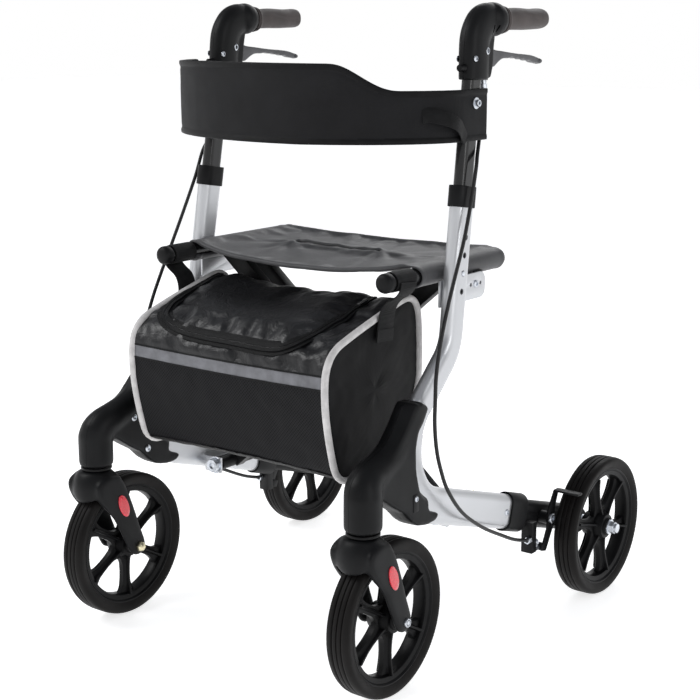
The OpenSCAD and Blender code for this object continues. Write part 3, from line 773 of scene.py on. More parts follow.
for name, at, turn, bore in (("front", CASTER, -math.pi / 2, 4.2),
                             ("rear", REAR_WHEEL, math.radians(-76), 6.2)):
    both(name + "_tyre_tread", tyre(at), name + "_tyre", 50)
    both(name + "_rim_spokes", rim(at, turn, bore), name + "_rim", 38)


# ---------------------------------------------------------------- rear brakes
def brake():
    arm = [(122, 120), (124, 146), (140, 171), (151, 169), (142, 147), (140, 122), (119, 88), (107, 91)]
    pad = [(140, 171.4), (152.5, 171.4), (154, 169), (150, 167.8), (141, 168.2)]
    boss = [(234.2, 4.1), (234.2, 9), (247.5, 9), (247.5, 4.1)]
    clamp = [(-4, 0), (-4, 3.4), (6, 3.4), (6.6, 2.6), (6.6, 0)]
    pivot = (0, 130, 133)
    parts = [plate("arm", arm, 247, 250.2, "steel_black", 0.9, 2),
             plate("pad", pad, 247, 286, "steel_black", 0.7, 2),
             lathe("boss", boss, "steel_black", (1, 0, 0), pivot, 36, closed=True),
             lathe("pivot", [(214, 3.8), (250.5, 3.8)], "zinc", (1, 0, 0), pivot, 24),
             screw((250.2, 130, 133), (1, 0, 0), 6.6, 4, hexr=3),
             plate("foot", [(106, 92), (118, 88), (122, 98), (110, 102)], 238, 250, "steel_black", 1, 2),
             lathe("clamp", clamp, "zinc", (0, 1, 0), (243, 103, 95), 20)]
    return join("b", parts)


both("brake_lever_plate", brake(), "brake_arm")


def brake_spring():
    pts = []
    for i in range(111):
        t = i / 110
        a = 2 * math.pi * 7 * t
        pts.append((242 + 4.2 * math.cos(a), 99.2 + 5.4 * t, 104 + 4.2 * math.sin(a)))
    spring = sweep("sp", pts, ring(0.7, 8), "zinc")
    nut = lathe("n", [(79, 3.0), (79, 5), (85.6, 5), (85.6, 3.0)], "zinc", (0, 1, 0), (242, 0, 112), 6, 25,
                closed=True)
    return join("right_brake_return_spring", [spring, nut])


spring = brake_spring()
for side, o in (("right", spring), ("left", mirrored(spring, "left_brake_return_spring"))):
    shade(o, 35)
    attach(o, side + "_frame")


# ---------------------------------------------------------------- cables
ROUTE = [(207.5, 0, 732.5), (209, -3, 715), (211.5, -10, 692), (214, -16.5, 676), (217.3, -24.5, 662),
         (224, -38, 648), (229, -48, 634), (232, -62, 597), (236, -83.5, 550), (238, -104, 511),
         (240, -123, 475), (243, -143, 433), (246, -157, 393), (249, -163, 362), (250, -165, 332),
         (250, -160, 299), (250, -150, 271), (250, -134, 241), (248, -97, 202), (246, -46, 168),
         (243, 8, 141), (242, 45, 124), (242, 79, 113), (242, 85, 112), (242, 94, 112)]
for side, s in (("right", 1), ("left", -1)):
    pts = [V((s * p.x, p.y, p.z)) for p in path(ROUTE, 5)]
    c = sweep(side + "_cable_jacket", pts, ring(2.45, 14), "cable", smooth=60)
    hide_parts(side + "_brake_cable")
    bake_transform(c)


# ---------------------------------------------------------------- handles
def housing():
    """An oval sleeve round the height tube that leans into the grip's hub."""
    pts = [(-25.5, 741.5), (-24.8, 757), (-24, 775), (-21, 794), (-10, 808.5), (3, 814.5), (16, 815.5)]
    spine = path([tuple(lean(0, y, z) / MM) for y, z in pts], 5)
    along = [22.8, 22.8, 22.8, 22.6, 22.6, 21.6, 20.2]
    wide = [15.0, 15.2, 15.6, 15.8, 15.9, 15.6, 15.2]
    oval = [(math.copysign(abs(x) ** 0.85, x), math.copysign(abs(y) ** 0.85, y)) for x, y in ring(1, 32)]
    a = sweep("a", spine, oval, "plastic", scale=lambda t: (between(wide, t), between(along, t)))
    hub = lathe("h", [(4, 0), (4, 15), (8, 19), (14, 21.4), (22, 21.6), (27, 20), (30.4, 18.8), (30.6, 0)],
                "plastic", (0, 1, 0), (0, 0, GRIP_Z + 0.5), 40, matrix=LEAN_M)
    web = plate("w", [(-20, 742), (2, 743), (8, 757), (10, 780), (13, 796), (-10, 800), (-24, 780)], -9.4,
                9.4, "plastic", 2, 2, LEAN_M)
    boss = lathe("b", [(-13.5, 0), (-13.5, 8), (13.5, 8), (13.5, 0)], "plastic", (1, 0, 0),
                 lean(0, *PIVOT_YZ) / MM, 32)
    o = remesh(join("h", [a, hub, web, boss]), 0.0016, 7)
    cut_away(o, plate("c", [(-30, 755), (60, 755), (60, 789), (-30, 789)], -6.9, 6.9, "plastic", matrix=LEAN_M))
    # two slots on the outer face
    for y in (-2, 6):
        slot = [(y, 793), (y + 2.6, 793), (y + 4.6, 808), (y + 2, 808)]
        cut_away(o, plate("g", slot, 11.5, 20, "plastic", matrix=LEAN_M))
    return o


outer, inner = halves(housing(), 0.0)
core = lathe("core", [(20, 0), (20, 8), (118, 8), (118, 0)], "plastic", (0, 1, 0), (0, 0, GRIP_Z), 24,
             matrix=LEAN_M)
both("handle_outer_shell", join("o", [outer, core]), "handle_outer", 50)
both("handle_inner_shell", join("i", [inner]), "handle_inner", 50)


def grip():
    vs, fs, k, p = [], [], 40, 0.86
    #        y, then the reach up, down, out and in from the middle, and the middle's shift in z
    secs = [(31.2, 18.8, 18.8, 18.8, 18.8, 0), (34.0, 18.8, 18.8, 18.8, 18.8, 0),
            (34.3, 15.2, 15.2, 15.8, 15.8, 0), (37.2, 15.2, 15.2, 15.8, 15.8, 0),
            (37.5, 17.4, 17.4, 17.6, 17.6, 0), (40.2, 17.4, 17.4, 17.6, 17.6, 0),
            (40.6, 13.8, 13.6, 15.0, 15.0, 0), (48, 13.7, 13.4, 15.4, 15.4, 0),
            (58, 14.4, 13.2, 16.6, 15.8, 0.2), (70, 15.0, 13.2, 17.6, 16.0, 0.3),
            (84, 14.6, 13.4, 18.6, 16.0, 0.2), (98, 14.0, 13.2, 19.4, 15.8, 0),
            (110, 13.9, 12.8, 20.4, 15.6, 0), (119, 14.1, 12.8, 20.6, 15.4, 0.2),
            (127, 14.3, 12.8, 20.0, 15.2, 0.4), (130.4, 14.0, 12.4, 19.2, 14.8, 0.4),
            (131.7, 12.4, 11.0, 17.0, 13.2, 0.3), (132, 0.1, 0.1, 0.1, 0.1, 0)]
    for y, a, b, c, d, dz in secs:
        for i in range(k):
            t = 2 * math.pi * i / k
            ct, st = math.cos(t), math.sin(t)
            rx, rz = (c if ct > 0 else d), (a if st > 0 else b)
            vs.append(lean(rx * math.copysign(abs(ct) ** p, ct), y,
                           GRIP_Z + dz + rz * math.copysign(abs(st) ** p, st)))
    n = len(secs)
    for j in range(n - 1):
        for i in range(k):
            m = (i + 1) % k
            fs.append((j * k + i, (j + 1) * k + i, (j + 1) * k + m, j * k + m))
    fs += [list(range(k)), [(n - 1) * k + i for i in range(k)][::-1]]
    o = subdivide(piece("g", vs, fs, "grip", 60))
    # the crease that runs down and across the palm rest
    for v in o.data.vertices:
        q = v.co / MM
        t = (q.y - 66) / 60
        if 0 < t < 1:
            dist = abs(q.z - (GRIP_Z + 9 - 15 * t))
            if dist < 3 and abs(q.x - FOOT[0] + q.z * LEAN) > 6:
                inwards = -1 if q.x > FOOT[0] - q.z * LEAN else 1
                v.co.x += inwards * 0.0011 * (1 - dist / 3) * math.sin(math.pi * t) ** 0.5
    return o


both("grip_sleeve", grip(), "grip", 45)


def handle_screws():
    parts = [screw(lean(s * 12.6, -39.5, 768) / MM, OUTWARD * s, 4, 1.9) for s in (1, -1)]
    parts += [screw(lean(s * 13.5, *PIVOT_YZ) / MM, OUTWARD * s, 5, 2.2) for s in (1, -1)]
    parts.append(lathe("adj", [(727, 3.2), (727, 4), (730, 4), (730.2, 5), (736, 5), (736.3, 4), (743, 4),
                               (743, 3.2)], "zinc", (0, 0, 1), (207.4, 0, 0), 12, 20, closed=True))
    knob = [(-58, 0), (-58, 3.4), (-57, 4.4), (-51, 4.4), (-49, 5.2), (-47, 5.2), (-47, 0)]
    parts.append(lathe("knob", knob, "steel_black", (0, 1, 0), (0, 0, 757), 24, matrix=LEAN_M))
    return join("s", parts)


both("handle_fasteners", handle_screws(), "handle_screws")


def lever():
    top = [(-20, 786), (-8, 786.5), (6, 782), (19, 777.8), (38, 775.8), (58, 773.6), (77, 771.9), (94, 770.8),
           (110.5, 769.2), (124, 766.4)]
    end = [(134.7, 763.4), (136.6, 760.4), (134, 758.2), (124.6, 758.7)]
    low = [(114, 760), (106, 762.8), (98, 762.6), (91, 764.6), (84, 764.4), (77, 766.4), (69, 766), (61, 767.6),
           (52, 766.6), (38, 766.4), (28, 763), (20, 758.6), (15, 756.6), (8, 758), (-6, 766), (-20, 768)]
    blade = plate("lv", smooth_outline(top + end + low, 3), -5.2, 5.2, "lever", 2.2, 3, LEAN_M)
    ball = lathe("ball", [(-8, 0), (-7.4, 1.8), (-5, 3.2), (0, 3.9), (5, 3.2), (7.4, 1.8), (8, 0)], "lever",
                 (1, 0, 0), (0, 130.5, 761.3), 28, matrix=LEAN_M)
    rod = lathe("rod", [(-12, 0), (-12, 4), (12, 4), (12, 0)], "zinc", (1, 0, 0), (0, *PIVOT_YZ), 24,
                matrix=LEAN_M)
    return join("l", [blade, ball, rod])


both("lever_blade", lever(), "brake_lever", 45)


def button():
    up = Matrix.Translation((0, 0, 503.6 / math.cos(TILT) * MM))
    place = LEAN_M @ Matrix.Translation((0, FOOT[1] * MM, 0)) @ Matrix.Rotation(-TILT, 4, "X") @ up
    return lathe("b", [(3, 0), (3, 3.6), (10.8, 3.6), (11.9, 3.1), (12.4, 2.0), (12.5, 0)], "zinc", (1, 0, 0),
                 (0, 0, 0), 28, matrix=place)


both("button_head", button(), "snap_button")


# ---------------------------------------------------------------- seat bars and their knobs
def knob():
    front = lathe("k", [(-185.4, 0), (-185.2, 6), (-184, 9.6), (-182, 11.6), (-179.5, 12.4), (-173, 12.4),
                        (-171.5, 11.8), (-171, 11.05)], "plastic", (0, 1, 0), (BAR_X, 0, BAR_Z), 48)
    rear = lathe("r", [(78, 11.05), (78, 12.4), (80, 12.3), (81, 10.6), (81.2, 0)], "plastic", (0, 1, 0),
                 (BAR_X, 0, BAR_Z), 48)
    return join("k", [front, rear])


both("bar_knob_cap", knob(), "bar_knob")


# ---------------------------------------------------------------- soft goods
def cloth(o, pin, growth, cap, frames, bumps, pitch, pressure=0.0, gravity=0.0, bend=0.5):
    """Lets the mesh settle as cloth that is a little too large for its seams, and keeps the result."""
    rest = [v.co.copy() for v in o.data.vertices]
    o.data.update()
    for v in o.data.vertices:
        free = 1 - pin.get(v.index, 0)
        v.co += v.normal * free * bumps * noise.noise(v.co * pitch)
    g = o.vertex_groups.new(name="pin")
    for i, w in pin.items():
        g.add([i], w, "REPLACE")
    m = o.modifiers.new("cloth", "CLOTH")
    s = m.settings
    s.quality, s.mass, s.air_damping = 6, 0.15, 2.0
    s.tension_stiffness = s.compression_stiffness = 18
    s.shear_stiffness, s.bending_stiffness = 6, bend
    s.vertex_group_mass = "pin"
    s.pin_stiffness = 4
    s.shrink_min = -growth
    s.effector_weights.gravity = gravity
    if pressure:
        s.use_pressure = True
        s.uniform_pressure_force = pressure
    m.collision_settings.use_collision = False
    m.collision_settings.use_self_collision = False
    m.point_cache.frame_start, m.point_cache.frame_end = 1, frames
    for f in range(1, frames + 1):
        scene.frame_set(f)
    done = [v.co.copy() for v in o.evaluated_get(bpy.context.evaluated_depsgraph_get()).data.vertices]
    o.modifiers.clear()
    o.vertex_groups.clear()
    scene.frame_set(1)
    for v, a, b in zip(o.data.vertices, rest, done):
        d = b - a
        v.co = a + d * min(1, cap * MM / max(d.length, 1e-9))
    return o


def ribbon(name, pts, normals, half, t, mat, lift, closed=False):
    """A flat strap, 2 x half wide and t thick, in mm, whose underside lies lift above the points."""
    vs, fs, n = [], [], len(pts)
    sec = [(-1, 0.15), (-0.93, 0.0), (0.93, 0.0), (1, 0.15), (1, 0.85), (0.93, 1), (-0.93, 1), (-1, 0.85)]
    for i in range(n):
        p, nn = pts[i], normals[i].normalized()
        a, b = neighbours(pts, i, closed)
        w = (b - a).normalized().cross(nn).normalized()
        for s, h in sec:
            vs.append((p + w * s * half + nn * (lift + h * t)) * MM)
    k = len(sec)
    for i in range(n if closed else n - 1):
        j = (i + 1) % n
        fs += [(i * k + m, i * k + (m + 1) % k, j * k + (m + 1) % k, j * k + m) for m in range(k)]
    if not closed:
        fs += [list(range(k))[::-1], [(n - 1) * k + m for m in range(k)]]
    return piece(name, vs, fs, mat, 40)


def spaced(pts, step):
    """Points evenly along a curve, about step apart, ends kept."""
    pts = [V(p) for p in pts]
    run = [0.0]
    for a, b in zip(pts, pts[1:]):
        run.append(run[-1] + (b - a).length)
    n = max(2, round(run[-1] / step))
    out, j = [], 0
    for i in range(n + 1):
        s = run[-1] * i / n
        while j < len(run) - 2 and run[j + 1] < s:
            j += 1
        t = (s - run[j]) / max(run[j + 1] - run[j], 1e-9)
        out.append(pts[j].lerp(pts[j + 1], min(1, max(0, t))))
    return out


# ---------------------------------------------------------------- seat
SEAT_FRONT, SEAT_REAR = -142, 76
SLOT_Y, SLOT_HALF = -33, 76
SLOT_LINES = (-35.4, -30.6)


def seat():
    """The sling's middle surface: a panel between two tunnels round the bars, with a slot."""
    tunnel = [math.radians(a) for a in range(-160, 91, 14)]
    xs = [BAR_X + 13.4 * math.cos(a) for a in tunnel]
    zs = [BAR_Z + 13.4 * math.sin(a) for a in tunnel]
    xs = xs + [BAR_X * i / 36 for i in range(35, -36, -1)] + [-x for x in reversed(xs)]
    zs = zs + [None] * 71 + zs[::-1]
    ys = [SEAT_FRONT, -140, -137, -134, -131.5, -129, -126, -122] + [-117 + 5.25 * i for i in range(16)]
    ys += [*SLOT_LINES] + [-26 + 5.1 * i for i in range(18)] + [65, 68, 71, 73.5, SEAT_REAR]
    verts, pin, nx, ny = [], {}, len(xs), len(ys)
    for j, y in enumerate(ys):
        for i, x in enumerate(xs):
            z = zs[i]
            yy = y
            if y < -90:
                yy = y + (2 + 17 * (abs(x) / BAR_X) ** 4) * min(1, (-90 - y) / 45)
            if z is None:
                u = min(1, abs(x) / 170)
                deep = 3.6 + 11 * max(0, (-40 - y) / 100) ** 1.3
                z = 515.2 - deep * (1 - u * u) ** 0.8
            if y in SLOT_LINES and abs(x) < SLOT_HALF:
                yy = SLOT_Y + (1 if y > SLOT_Y else -1) * (1.5 + 3.2 * (abs(x) / SLOT_HALF) ** 3)
                z += 2.6 if y > SLOT_Y else -1.6
                pin[j * nx + i] = 1.0
            if zs[i] is not None or abs(x) > 172:
                pin[j * nx + i] = 1.0
            elif j < 4 or j > ny - 4:
                pin[j * nx + i] = 0.75
            verts.append((x * MM, yy * MM, z * MM))
    faces = []
    for j in range(ny - 1):
        for i in range(nx - 1):
            if ys[j] == SLOT_LINES[0] and max(abs(xs[i]), abs(xs[i + 1])) < SLOT_HALF + 0.5:
                continue
            faces.append((j * nx + i, j * nx + i + 1, (j + 1) * nx + i + 1, (j + 1) * nx + i))
    o = piece("seat_cloth", verts, faces, "seat", 60)
    cloth(o, pin, 0.016, 5, 20, 0.0016, 38, gravity=0.05)
    # creases that run out from the ends of the slot and from the bars
    for v in o.data.vertices:
        p = v.co / MM
        if abs(p.x) > 176:
            continue
        h = 0
        for s in (-1, 1):
            dx, dy = p.x - s * SLOT_HALF, p.y - SLOT_Y
            r = math.hypot(dx, dy)
            if r > 2:
                a = math.atan2(dy, dx * s)
                h += 2.3 * math.sin(7 * a + 1.3 * s + 0.02 * r) * math.exp(-r / 55) * min(1, r / 12)
        edge = max(0, 1 - (176 - abs(p.x)) / 40)
        h += 0.8 * edge * noise.noise(V((0, p.y * 0.055, 1)))
        lip = math.exp(-((abs(p.y - SLOT_Y) - 4) / 4) ** 2) if abs(p.x) < 80 else 0
        v.co.z += (h + lip) * MM
    # two layers with a soft filling between them, thin at the seams
    me = o.data
    me.update()
    n = len(me.vertices)
    co = [v.co.copy() for v in me.vertices]
    nor = [v.normal.copy() for v in me.vertices]
    sign = 1 if nor[(ny // 2) * nx + nx // 2].z > 0 else -1
    half = []
    for k in range(n):
        y = ys[k // nx]
        e = min(y - SEAT_FRONT, SEAT_REAR - y)
        t = 1.35 + 1.15 * min(1, e / 25)
        t += 1.9 * math.exp(-((e - 4) / 4.2) ** 2) - 0.7 * math.exp(-((e - 12) / 2.2) ** 2)
        if abs(co[k].x) > 0.176:
            t = 0.9 + 0.5 * math.exp(-((e - 3) / 4) ** 2)
        half.append(t * MM)
    vs = [c + m * sign * t for c, m, t in zip(co, nor, half)]
    vs += [c - m * sign * t for c, m, t in zip(co, nor, half)]
    fs = [tuple(p.vertices) for p in me.polygons]
    fs += [tuple(n + q for q in reversed(f)) for f in fs[:]]
    b = bmesh.new()
    b.from_mesh(me)
    for e in b.edges:
        if e.is_boundary:
            a, c = e.verts[0].index, e.verts[1].index
            fs.append((a, c, n + c, n + a))
    b.free()
    bpy.data.objects.remove(o)
    o = subdivide(piece("seat_pad", vs, fs, "seat", 0))
    shade(o, 0)
    return o


def split_seat(o):
    """Cuts the finished seat at X = 0 into two padded halves that fold with their own bars."""
    me = o.data
    me.update()
    normals = {tuple(round(c, 7) for c in v.co): v.normal.copy() for v in me.vertices}
    for name, body, sign in (("seat_right_half", "brace_a", 1), ("seat_left_half", "brace_b", -1)):
        b = bmesh.new()
        b.from_mesh(me)
        bmesh.ops.bisect_plane(b, geom=b.verts[:] + b.edges[:] + b.faces[:], dist=1e-7, plane_co=(0, 0, 0),
                               plane_no=(-sign, 0, 0), clear_outer=True)
        half = bpy.data.meshes.new(name)
        b.to_mesh(half)
        b.free()
        for m in me.materials:
            half.materials.append(m)
        h = finish_piece(bpy.data.objects.new(name, half), None, 0)
        half.update()
        half.normals_split_custom_set_from_vertices(
            [normals.get(tuple(round(c, 7) for c in v.co), v.normal) for v in half.vertices])
        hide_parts("seat")
        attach(h, body)
        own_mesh(h)
    bpy.data.objects.remove(o)


split_seat(seat())

# ---------------------------------------------------------------- bag
BAG_X = 160.0
BAG_MIDDLE = V((0, -168, 362))
LOOP = [(-84, 466), (-103, 469.5), (-145, 459), (-190, 447), (-224, 437), (-245, 429.5), (-259, 418),
        (-266.5, 402), (-268.5, 380), (-267, 354), (-262, 325), (-255.5, 298), (-248.5, 276), (-240, 265),
        (-228, 259.5), (-212, 260), (-180, 272), (-145, 288.5), (-110, 305), (-90, 322), (-77, 342),
        (-71, 362), (-70, 392), (-71, 420), (-73, 446), (-77, 459)]


def loop_rows():
    """The side view's outline in rows about 6.5 mm apart, with the strip's edges on rows of their own."""
    dense = smooth_outline(LOOP, 16)
    dense.append(dense[0].copy())

    def first(test):
        return next(i for i, p in enumerate(dense) if test(p))
    cuts = [0, first(lambda p: p.x < -262 and p.y < 398.5), first(lambda p: p.x < -262 and p.y < 382),
            first(lambda p: p.x > -246 and p.y < 268 and p.x < -230), len(dense) - 1]
    rows, marks = [], []
    for a, b, step in zip(cuts, cuts[1:], (6, 4, 7, 9)):
        marks.append(len(rows))
        rows += spaced([V((p.x, p.y, 0)) for p in dense[a:b + 1]], step)[:-1]
    return [(p.x, p.y) for p in rows], marks


ROWS, MARKS = loop_rows()
NX = 62
ZIP = [(110, -98), (112, -131), (113, -166), (112, -195), (110, -220), (104, -240), (90, -253.5), (62, -258),
       (0, -257.5), (-60, -256.5), (-104, -251), (-128, -239), (-143, -219), (-150, -195), (-152, -165),
       (-151, -135), (-150, -98)]


def bag_rest(x, j):
    """The panel before it wrinkles, as a function of X and the row."""
    y, z = ROWS[j % len(ROWS)]
    u = 1 - (x / BAG_X) ** 2
    if j < MARKS[1]:
        z -= 12 * u * max(0, min(1, (y + 235) / 140))
        y += 3 * u * max(0, min(1, (-235 - y) / 25))
        flap = min(1, max(0, (x + 140) / 24)) * min(1, max(0, (104 - x) / 24)) * min(1, max(0, (y + 250) / 30))
        z += 5 * flap
    elif j < MARKS[3]:
        z -= 3.0 * u
        y += 3.5 * u
    else:
        z += 3 * u * max(0, min(1, (330 - z) / 40))
        y -= 4 * u * max(0, min(1, (z - 330) / 60))
    return V((x, y, z))


def bag():
    n, m = len(ROWS), NX + 1
    zipper = spaced(path([(x, y, 0) for x, y in ZIP], 6), 3)
    verts, pin = [], {}
    for j in range(n):
        for i in range(m):
            x = -BAG_X + 2 * BAG_X * i / NX
            verts.append(bag_rest(x, j) * MM)
            if i in (0, NX):
                w = 1.0
            elif j in MARKS:
                w = 0.9
            elif j < MARKS[1]:
                near = min(math.hypot(x - q.x, ROWS[j][0] - q.y) for q in zipper)
                w = 0.85 if near < 5 else 0.0
            elif j < MARKS[2]:
                w = 0.85
            else:
                w = 0.75
            if w:
                pin[j * m + i] = w
    faces, zones = [], []
    for j in range(n):
        jj = (j + 1) % n
        zone = 0 if j < MARKS[1] else 1 if j < MARKS[2] else 2 if j < MARKS[3] else 3
        for i in range(NX):
            faces.append((j * m + i, j * m + i + 1, jj * m + i + 1, jj * m + i))
            zones.append(zone)
    # side panels: rings that shrink towards the middle
    for side, i in ((-1, 0), (1, NX)):
        c = BAG_MIDDLE
        last = [j * m + i for j in range(n)]
        for k in range(1, 9):
            t = 1 - k / 9
            inner_ring = []
            for y, z in ROWS:
                inner_ring.append(len(verts))
                pin[len(verts)] = 0.8
                x = side * (BAG_X + 2.4 * (1 - t ** 2))
                verts.append(V((x, c.y + (y - c.y) * t, c.z + (z - c.z) * t)) * MM)
            for j in range(n):
                jj = (j + 1) % n
                faces.append((last[j], last[jj], inner_ring[jj], inner_ring[j]))
                zones.append(3)
            last = inner_ring
        faces.append(tuple(last))
        zones.append(3)
    me = bpy.data.meshes.new("bag")
    me.from_pydata([tuple(v) for v in verts], [], faces)
    for name in ("nylon", "tape", "mesh", "panel"):
        me.materials.append(M[name].m)
    for p, zone in zip(me.polygons, zones):
        p.material_index = zone
    b = bmesh.new()
    b.from_mesh(me)
    bmesh.ops.recalc_face_normals(b, faces=b.faces)
    b.to_mesh(me)
    b.free()
    o = finish_piece(bpy.data.objects.new("bag_shell", me), None, 45)
    return cloth(o, pin, 0.034, 6, 18, 0.0035, 46, pressure=0.1, bend=0.12), zipper


bag_cloth, zip_line = bag()
BAG_V = [v.co / MM for v in bag_cloth.data.vertices]


def on_bag(x, row):
    """The settled surface and its normal at X and a row, both real numbers."""
    m = NX + 1

    def at(x, r):
        i = (x + BAG_X) / (2 * BAG_X) * NX
        i0, j0 = max(0, min(NX - 1, int(i))), int(math.floor(r))
        a, c = i - i0, r - j0
        j0, j1 = j0 % len(ROWS), (j0 + 1) % len(ROWS)
        return (BAG_V[j0 * m + i0] * (1 - a) * (1 - c) + BAG_V[j0 * m + i0 + 1] * a * (1 - c)
                + BAG_V[j1 * m + i0] * (1 - a) * c + BAG_V[j1 * m + i0 + 1] * a * c)
    p = at(x, row)
    e = at(min(x + 5, BAG_X), row) - at(max(x - 5, -BAG_X), row)
    f = at(x, row + 0.7) - at(x, row - 0.7)
    nn = f.cross(e).normalized()
    if nn.dot(p - BAG_MIDDLE) < 0:
        nn = -nn
    return p, nn


def row_at(y):
    """The row on the top panel where the side view's outline passes y."""
    for j in range(MARKS[1] - 1):
        a, b = ROWS[j][0], ROWS[j + 1][0]
        if a >= y > b:
            return j + (a - y) / (a - b)
    return MARKS[1] - 1.0


def blurred(row, closed=False):
    """Each vector twice, plus its neighbours."""
    out = []
    for i, q in enumerate(row):
        a, b = neighbours(row, i, closed)
        out.append(a + q * 2 + b)
    return out


def bag_trim():
    parts = []
    pts, nor = zip(*[on_bag(q.x, row_at(q.y)) for q in zip_line[::2]])
    for _ in range(2):
        nor = [q.normalized() for q in blurred(nor)]
        pts = [q / 4 for q in blurred(pts)]
    parts.append(ribbon("tape", pts, nor, 10.5, 1.0, "zip", 0.2))
    for s in (-1, 1):
        lip = []
        for i, q in enumerate(pts):
            a, b = neighbours(pts, i)
            lip.append(q + nor[i].cross(b - a).normalized() * 3.0 * s)
        parts.append(ribbon("lip", lip, nor, 2.5, 2.4, "zip", 0.8))
    parts.append(sweep("teeth", [p + q * 1.9 for p, q in zip(pts, nor)], ring(0.9, 8), "zip_teeth"))
    # pull tab at the right end
    p, nn = pts[3], nor[3]
    d = (pts[5] - pts[3]).normalized()
    parts.append(ribbon("pull", [p + d * k for k in range(0, 24, 3)], [nn] * 8, 3.2, 1.6, "zip_teeth", 3.4))
    # binding along both edges of the side panels
    for side in (-1, 1):
        edge = blurred([V((side * (BAG_X + 0.6), y, z)) for y, z in ROWS], closed=True)
        parts.append(sweep("piping", [q / 4 for q in edge], ring(4.6, 12, 4.4), "piping", closed=True))
    # hem under the mesh, seam lines beside the strip
    for row, width in ((MARKS[3], 3.2), (MARKS[1], 1.1), (MARKS[2], 1.1)):
        line = [on_bag(x, row) for x in range(-156, 157, 6)]
        parts.append(ribbon("seam", [a for a, b in line], [b for a, b in line], width, 0.7, "hem", 0.15))
    # hanger straps: down from the bars and over the side panels
    for s in (-1, 1):
        line = [(197.6, 501), (196.6, 494), (192.5, 487), (185.5, 481.5), (177.5, 476.5), (171.5, 470),
                (168, 461), (166.4, 450), (165.4, 440), (165.2, 430), (165.0, 424)]
        c = path([V((s * x, -149 - 6 * (501 - z) / 77, z)) for x, z in line], 4)
        nn = []
        for i in range(len(c)):
            a, b = neighbours(c, i)
            e = (b - a).cross(V((0, 1, 0))).normalized()
            nn.append(e if e.x * s > 0 else -e)
        parts.append(ribbon("strap", c, nn, 16.5, 1.8, "webbing", 0.3))
        parts.append(ribbon("patch", c[-9:], nn[-9:], 17.2, 0.7, "hem", 2.1))
    return parts


trim = bag_trim()
shell = join("bag_shell", [subdivide(bag_cloth)] + trim, smooth=50)
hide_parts("bag")
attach(shell, "bag")
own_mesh(shell)

# webbing loops round the seat bars, in front of the seat
for name, s, body in (("right_bar_loop", 1, "brace_a"), ("left_bar_loop", -1, "brace_b")):
    c = [V((s * (BAR_X + x), -148, BAR_Z + z)) for x, z in ring(11.6, 40)]
    nn = [p - V((s * BAR_X, -148, BAR_Z)) for p in c]
    o = ribbon(name, c, nn, 20, 1.3, "webbing", 0.0, closed=True)
    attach(o, body)


# ---------------------------------------------------------------- backrest
def band_point(a, out=0.0):
    """The band's middle line in plan: half an ellipse in front of the uprights, and two straight ends."""
    if abs(a) <= 90:
        t = math.radians(a)
        p = V((BAND_X * math.sin(t), BAND_Y - BAND_DEEP * math.cos(t), 0))
        n = V((math.sin(t) / BAND_X, -math.cos(t) / BAND_DEEP, 0)).normalized()
    else:
        p = V((math.copysign(BAND_X, a), BAND_Y + (abs(a) - 90) * 1.2, 0))
        n = V((math.copysign(1, a), 0, 0))
    return p + n * out, n


def band_edges(x):
    """Lower and upper edge of the band at X; the end behind the right upright is narrower."""
    t = max(0, min(1, (x - 102) / 74))
    top = 763.5 - 32 * (t * t * (3 - 2 * t)) - 2.5 * max(0, min(1, (-x - 100) / 100))
    low = 664.5 + 3 * max(0, min(1, (x - 60) / 160))
    return low, top


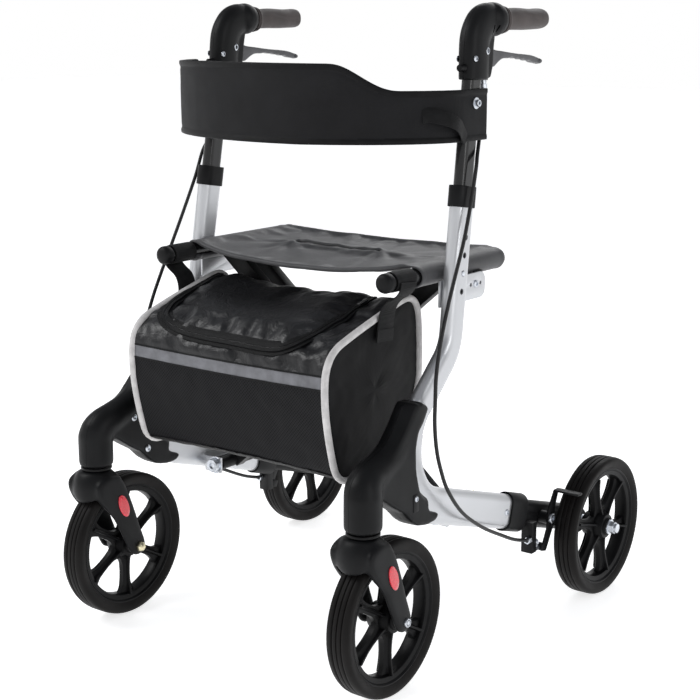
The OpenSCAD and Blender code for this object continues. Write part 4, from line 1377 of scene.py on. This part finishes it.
def backrest():
    arc = [-130 + i * 2.5 for i in range(105)]
    rows = [0, 0.012, 0.03, 0.055, 0.08, 0.1, 0.12] + [0.12 + 0.76 * i / 16 for i in range(1, 16)]
    rows += [1 - r for r in (0.12, 0.1, 0.08, 0.055, 0.03, 0.012, 0)]
    outer, inner, fs = [], [], []
    for a in arc:
        for r in rows:
            p, n = band_point(a)
            low, top = band_edges(p.x)
            if p.x < 0 and p.y > -60:
                low, top = low + 14, top - 22
            z = low + (top - low) * r
            e = min(r, 1 - r) * (top - low)
            t = 1.5 + 1.1 * math.exp(-((e - 3.4) / 3.4) ** 4) - 0.9 * math.exp(-((e - 8.8) / 1.3) ** 2)
            wav = 1.1 * noise.noise(V((a * 0.045, z * 0.016, 0.3))) + 0.35 * noise.noise(V((a * 0.16,
                                                                                            z * 0.05, 2.0)))
            if abs(a) > 84:
                wav *= 0.2
            outer.append((p + n * (wav + t), z))
            inner.append((p + n * (wav - t), z))
    vs = [(p.x * MM, p.y * MM, z * MM) for p, z in outer + inner]
    m, n = len(rows), len(outer)
    for i in range(len(arc) - 1):
        for j in range(m - 1):
            q = (i * m + j, (i + 1) * m + j, (i + 1) * m + j + 1, i * m + j + 1)
            fs += [q, tuple(n + k for k in reversed(q))]
        for j in (0, m - 1):
            a, b = i * m + j, (i + 1) * m + j
            fs.append((a, b, n + b, n + a))
    for i in (0, len(arc) - 1):
        for j in range(m - 1):
            a, b = i * m + j, i * m + j + 1
            fs.append((a, b, n + b, n + a))
    o = piece("backrest_band", vs, fs, "band", 50)
    o.data.materials.append(M["binding"].m)
    for p in o.data.polygons:
        c = p.center / MM
        low, top = band_edges(c.x)
        if min(c.z - low, top - c.z) < 7.4:
            p.material_index = 1
    subdivide(o)
    shade(o, 0)
    return o


def hardware():
    # carrying strap sewn on near the right end: angle along the bow, height, distance from the band
    pts, nn = [], []
    for a, z, out in ((63, 701, 2.6), (65.5, 702, 5), (68.5, 701, 9), (72, 698.5, 12.5), (75.5, 695, 13.5),
                      (79, 690.5, 12), (82, 685, 8.5), (84.5, 679.5, 5), (86.5, 674.5, 3.2), (88, 670.5, 2.6)):
        p, n = band_point(a, out)
        pts.append(V((p.x, p.y, z)))
        nn.append(n)
    pts = path(pts, 4)
    last = len(nn) - 1
    nor = [nn[i // 4].lerp(nn[min(last, i // 4 + 1)], (i % 4) / 4) + V((0, 0, 0.35)) for i in range(len(pts))]
    strap = ribbon("strap", pts, nor, 9, 1.7, "webbing", 0.0)
    # bolts through both ends
    bolts = []
    for s in (1, -1):
        at = (s * 223.2, -42, 714)
        bolts.append(lathe("w", [(0, 0), (0, 7.2), (1.2, 7.2), (1.4, 6.6), (1.4, 0)], "zinc", (s, 0, 0), at,
                           28))
        bolts.append(screw((s * 224.6, -42, 714), (s, 0, 0), 4.4, 4.2, hexr=2.2))
    return join("backrest_hardware", bolts + [strap], smooth=40)


band = backrest()
for o in (band, hardware()):
    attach(o, "left_handle")
    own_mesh(o)
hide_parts("backrest")
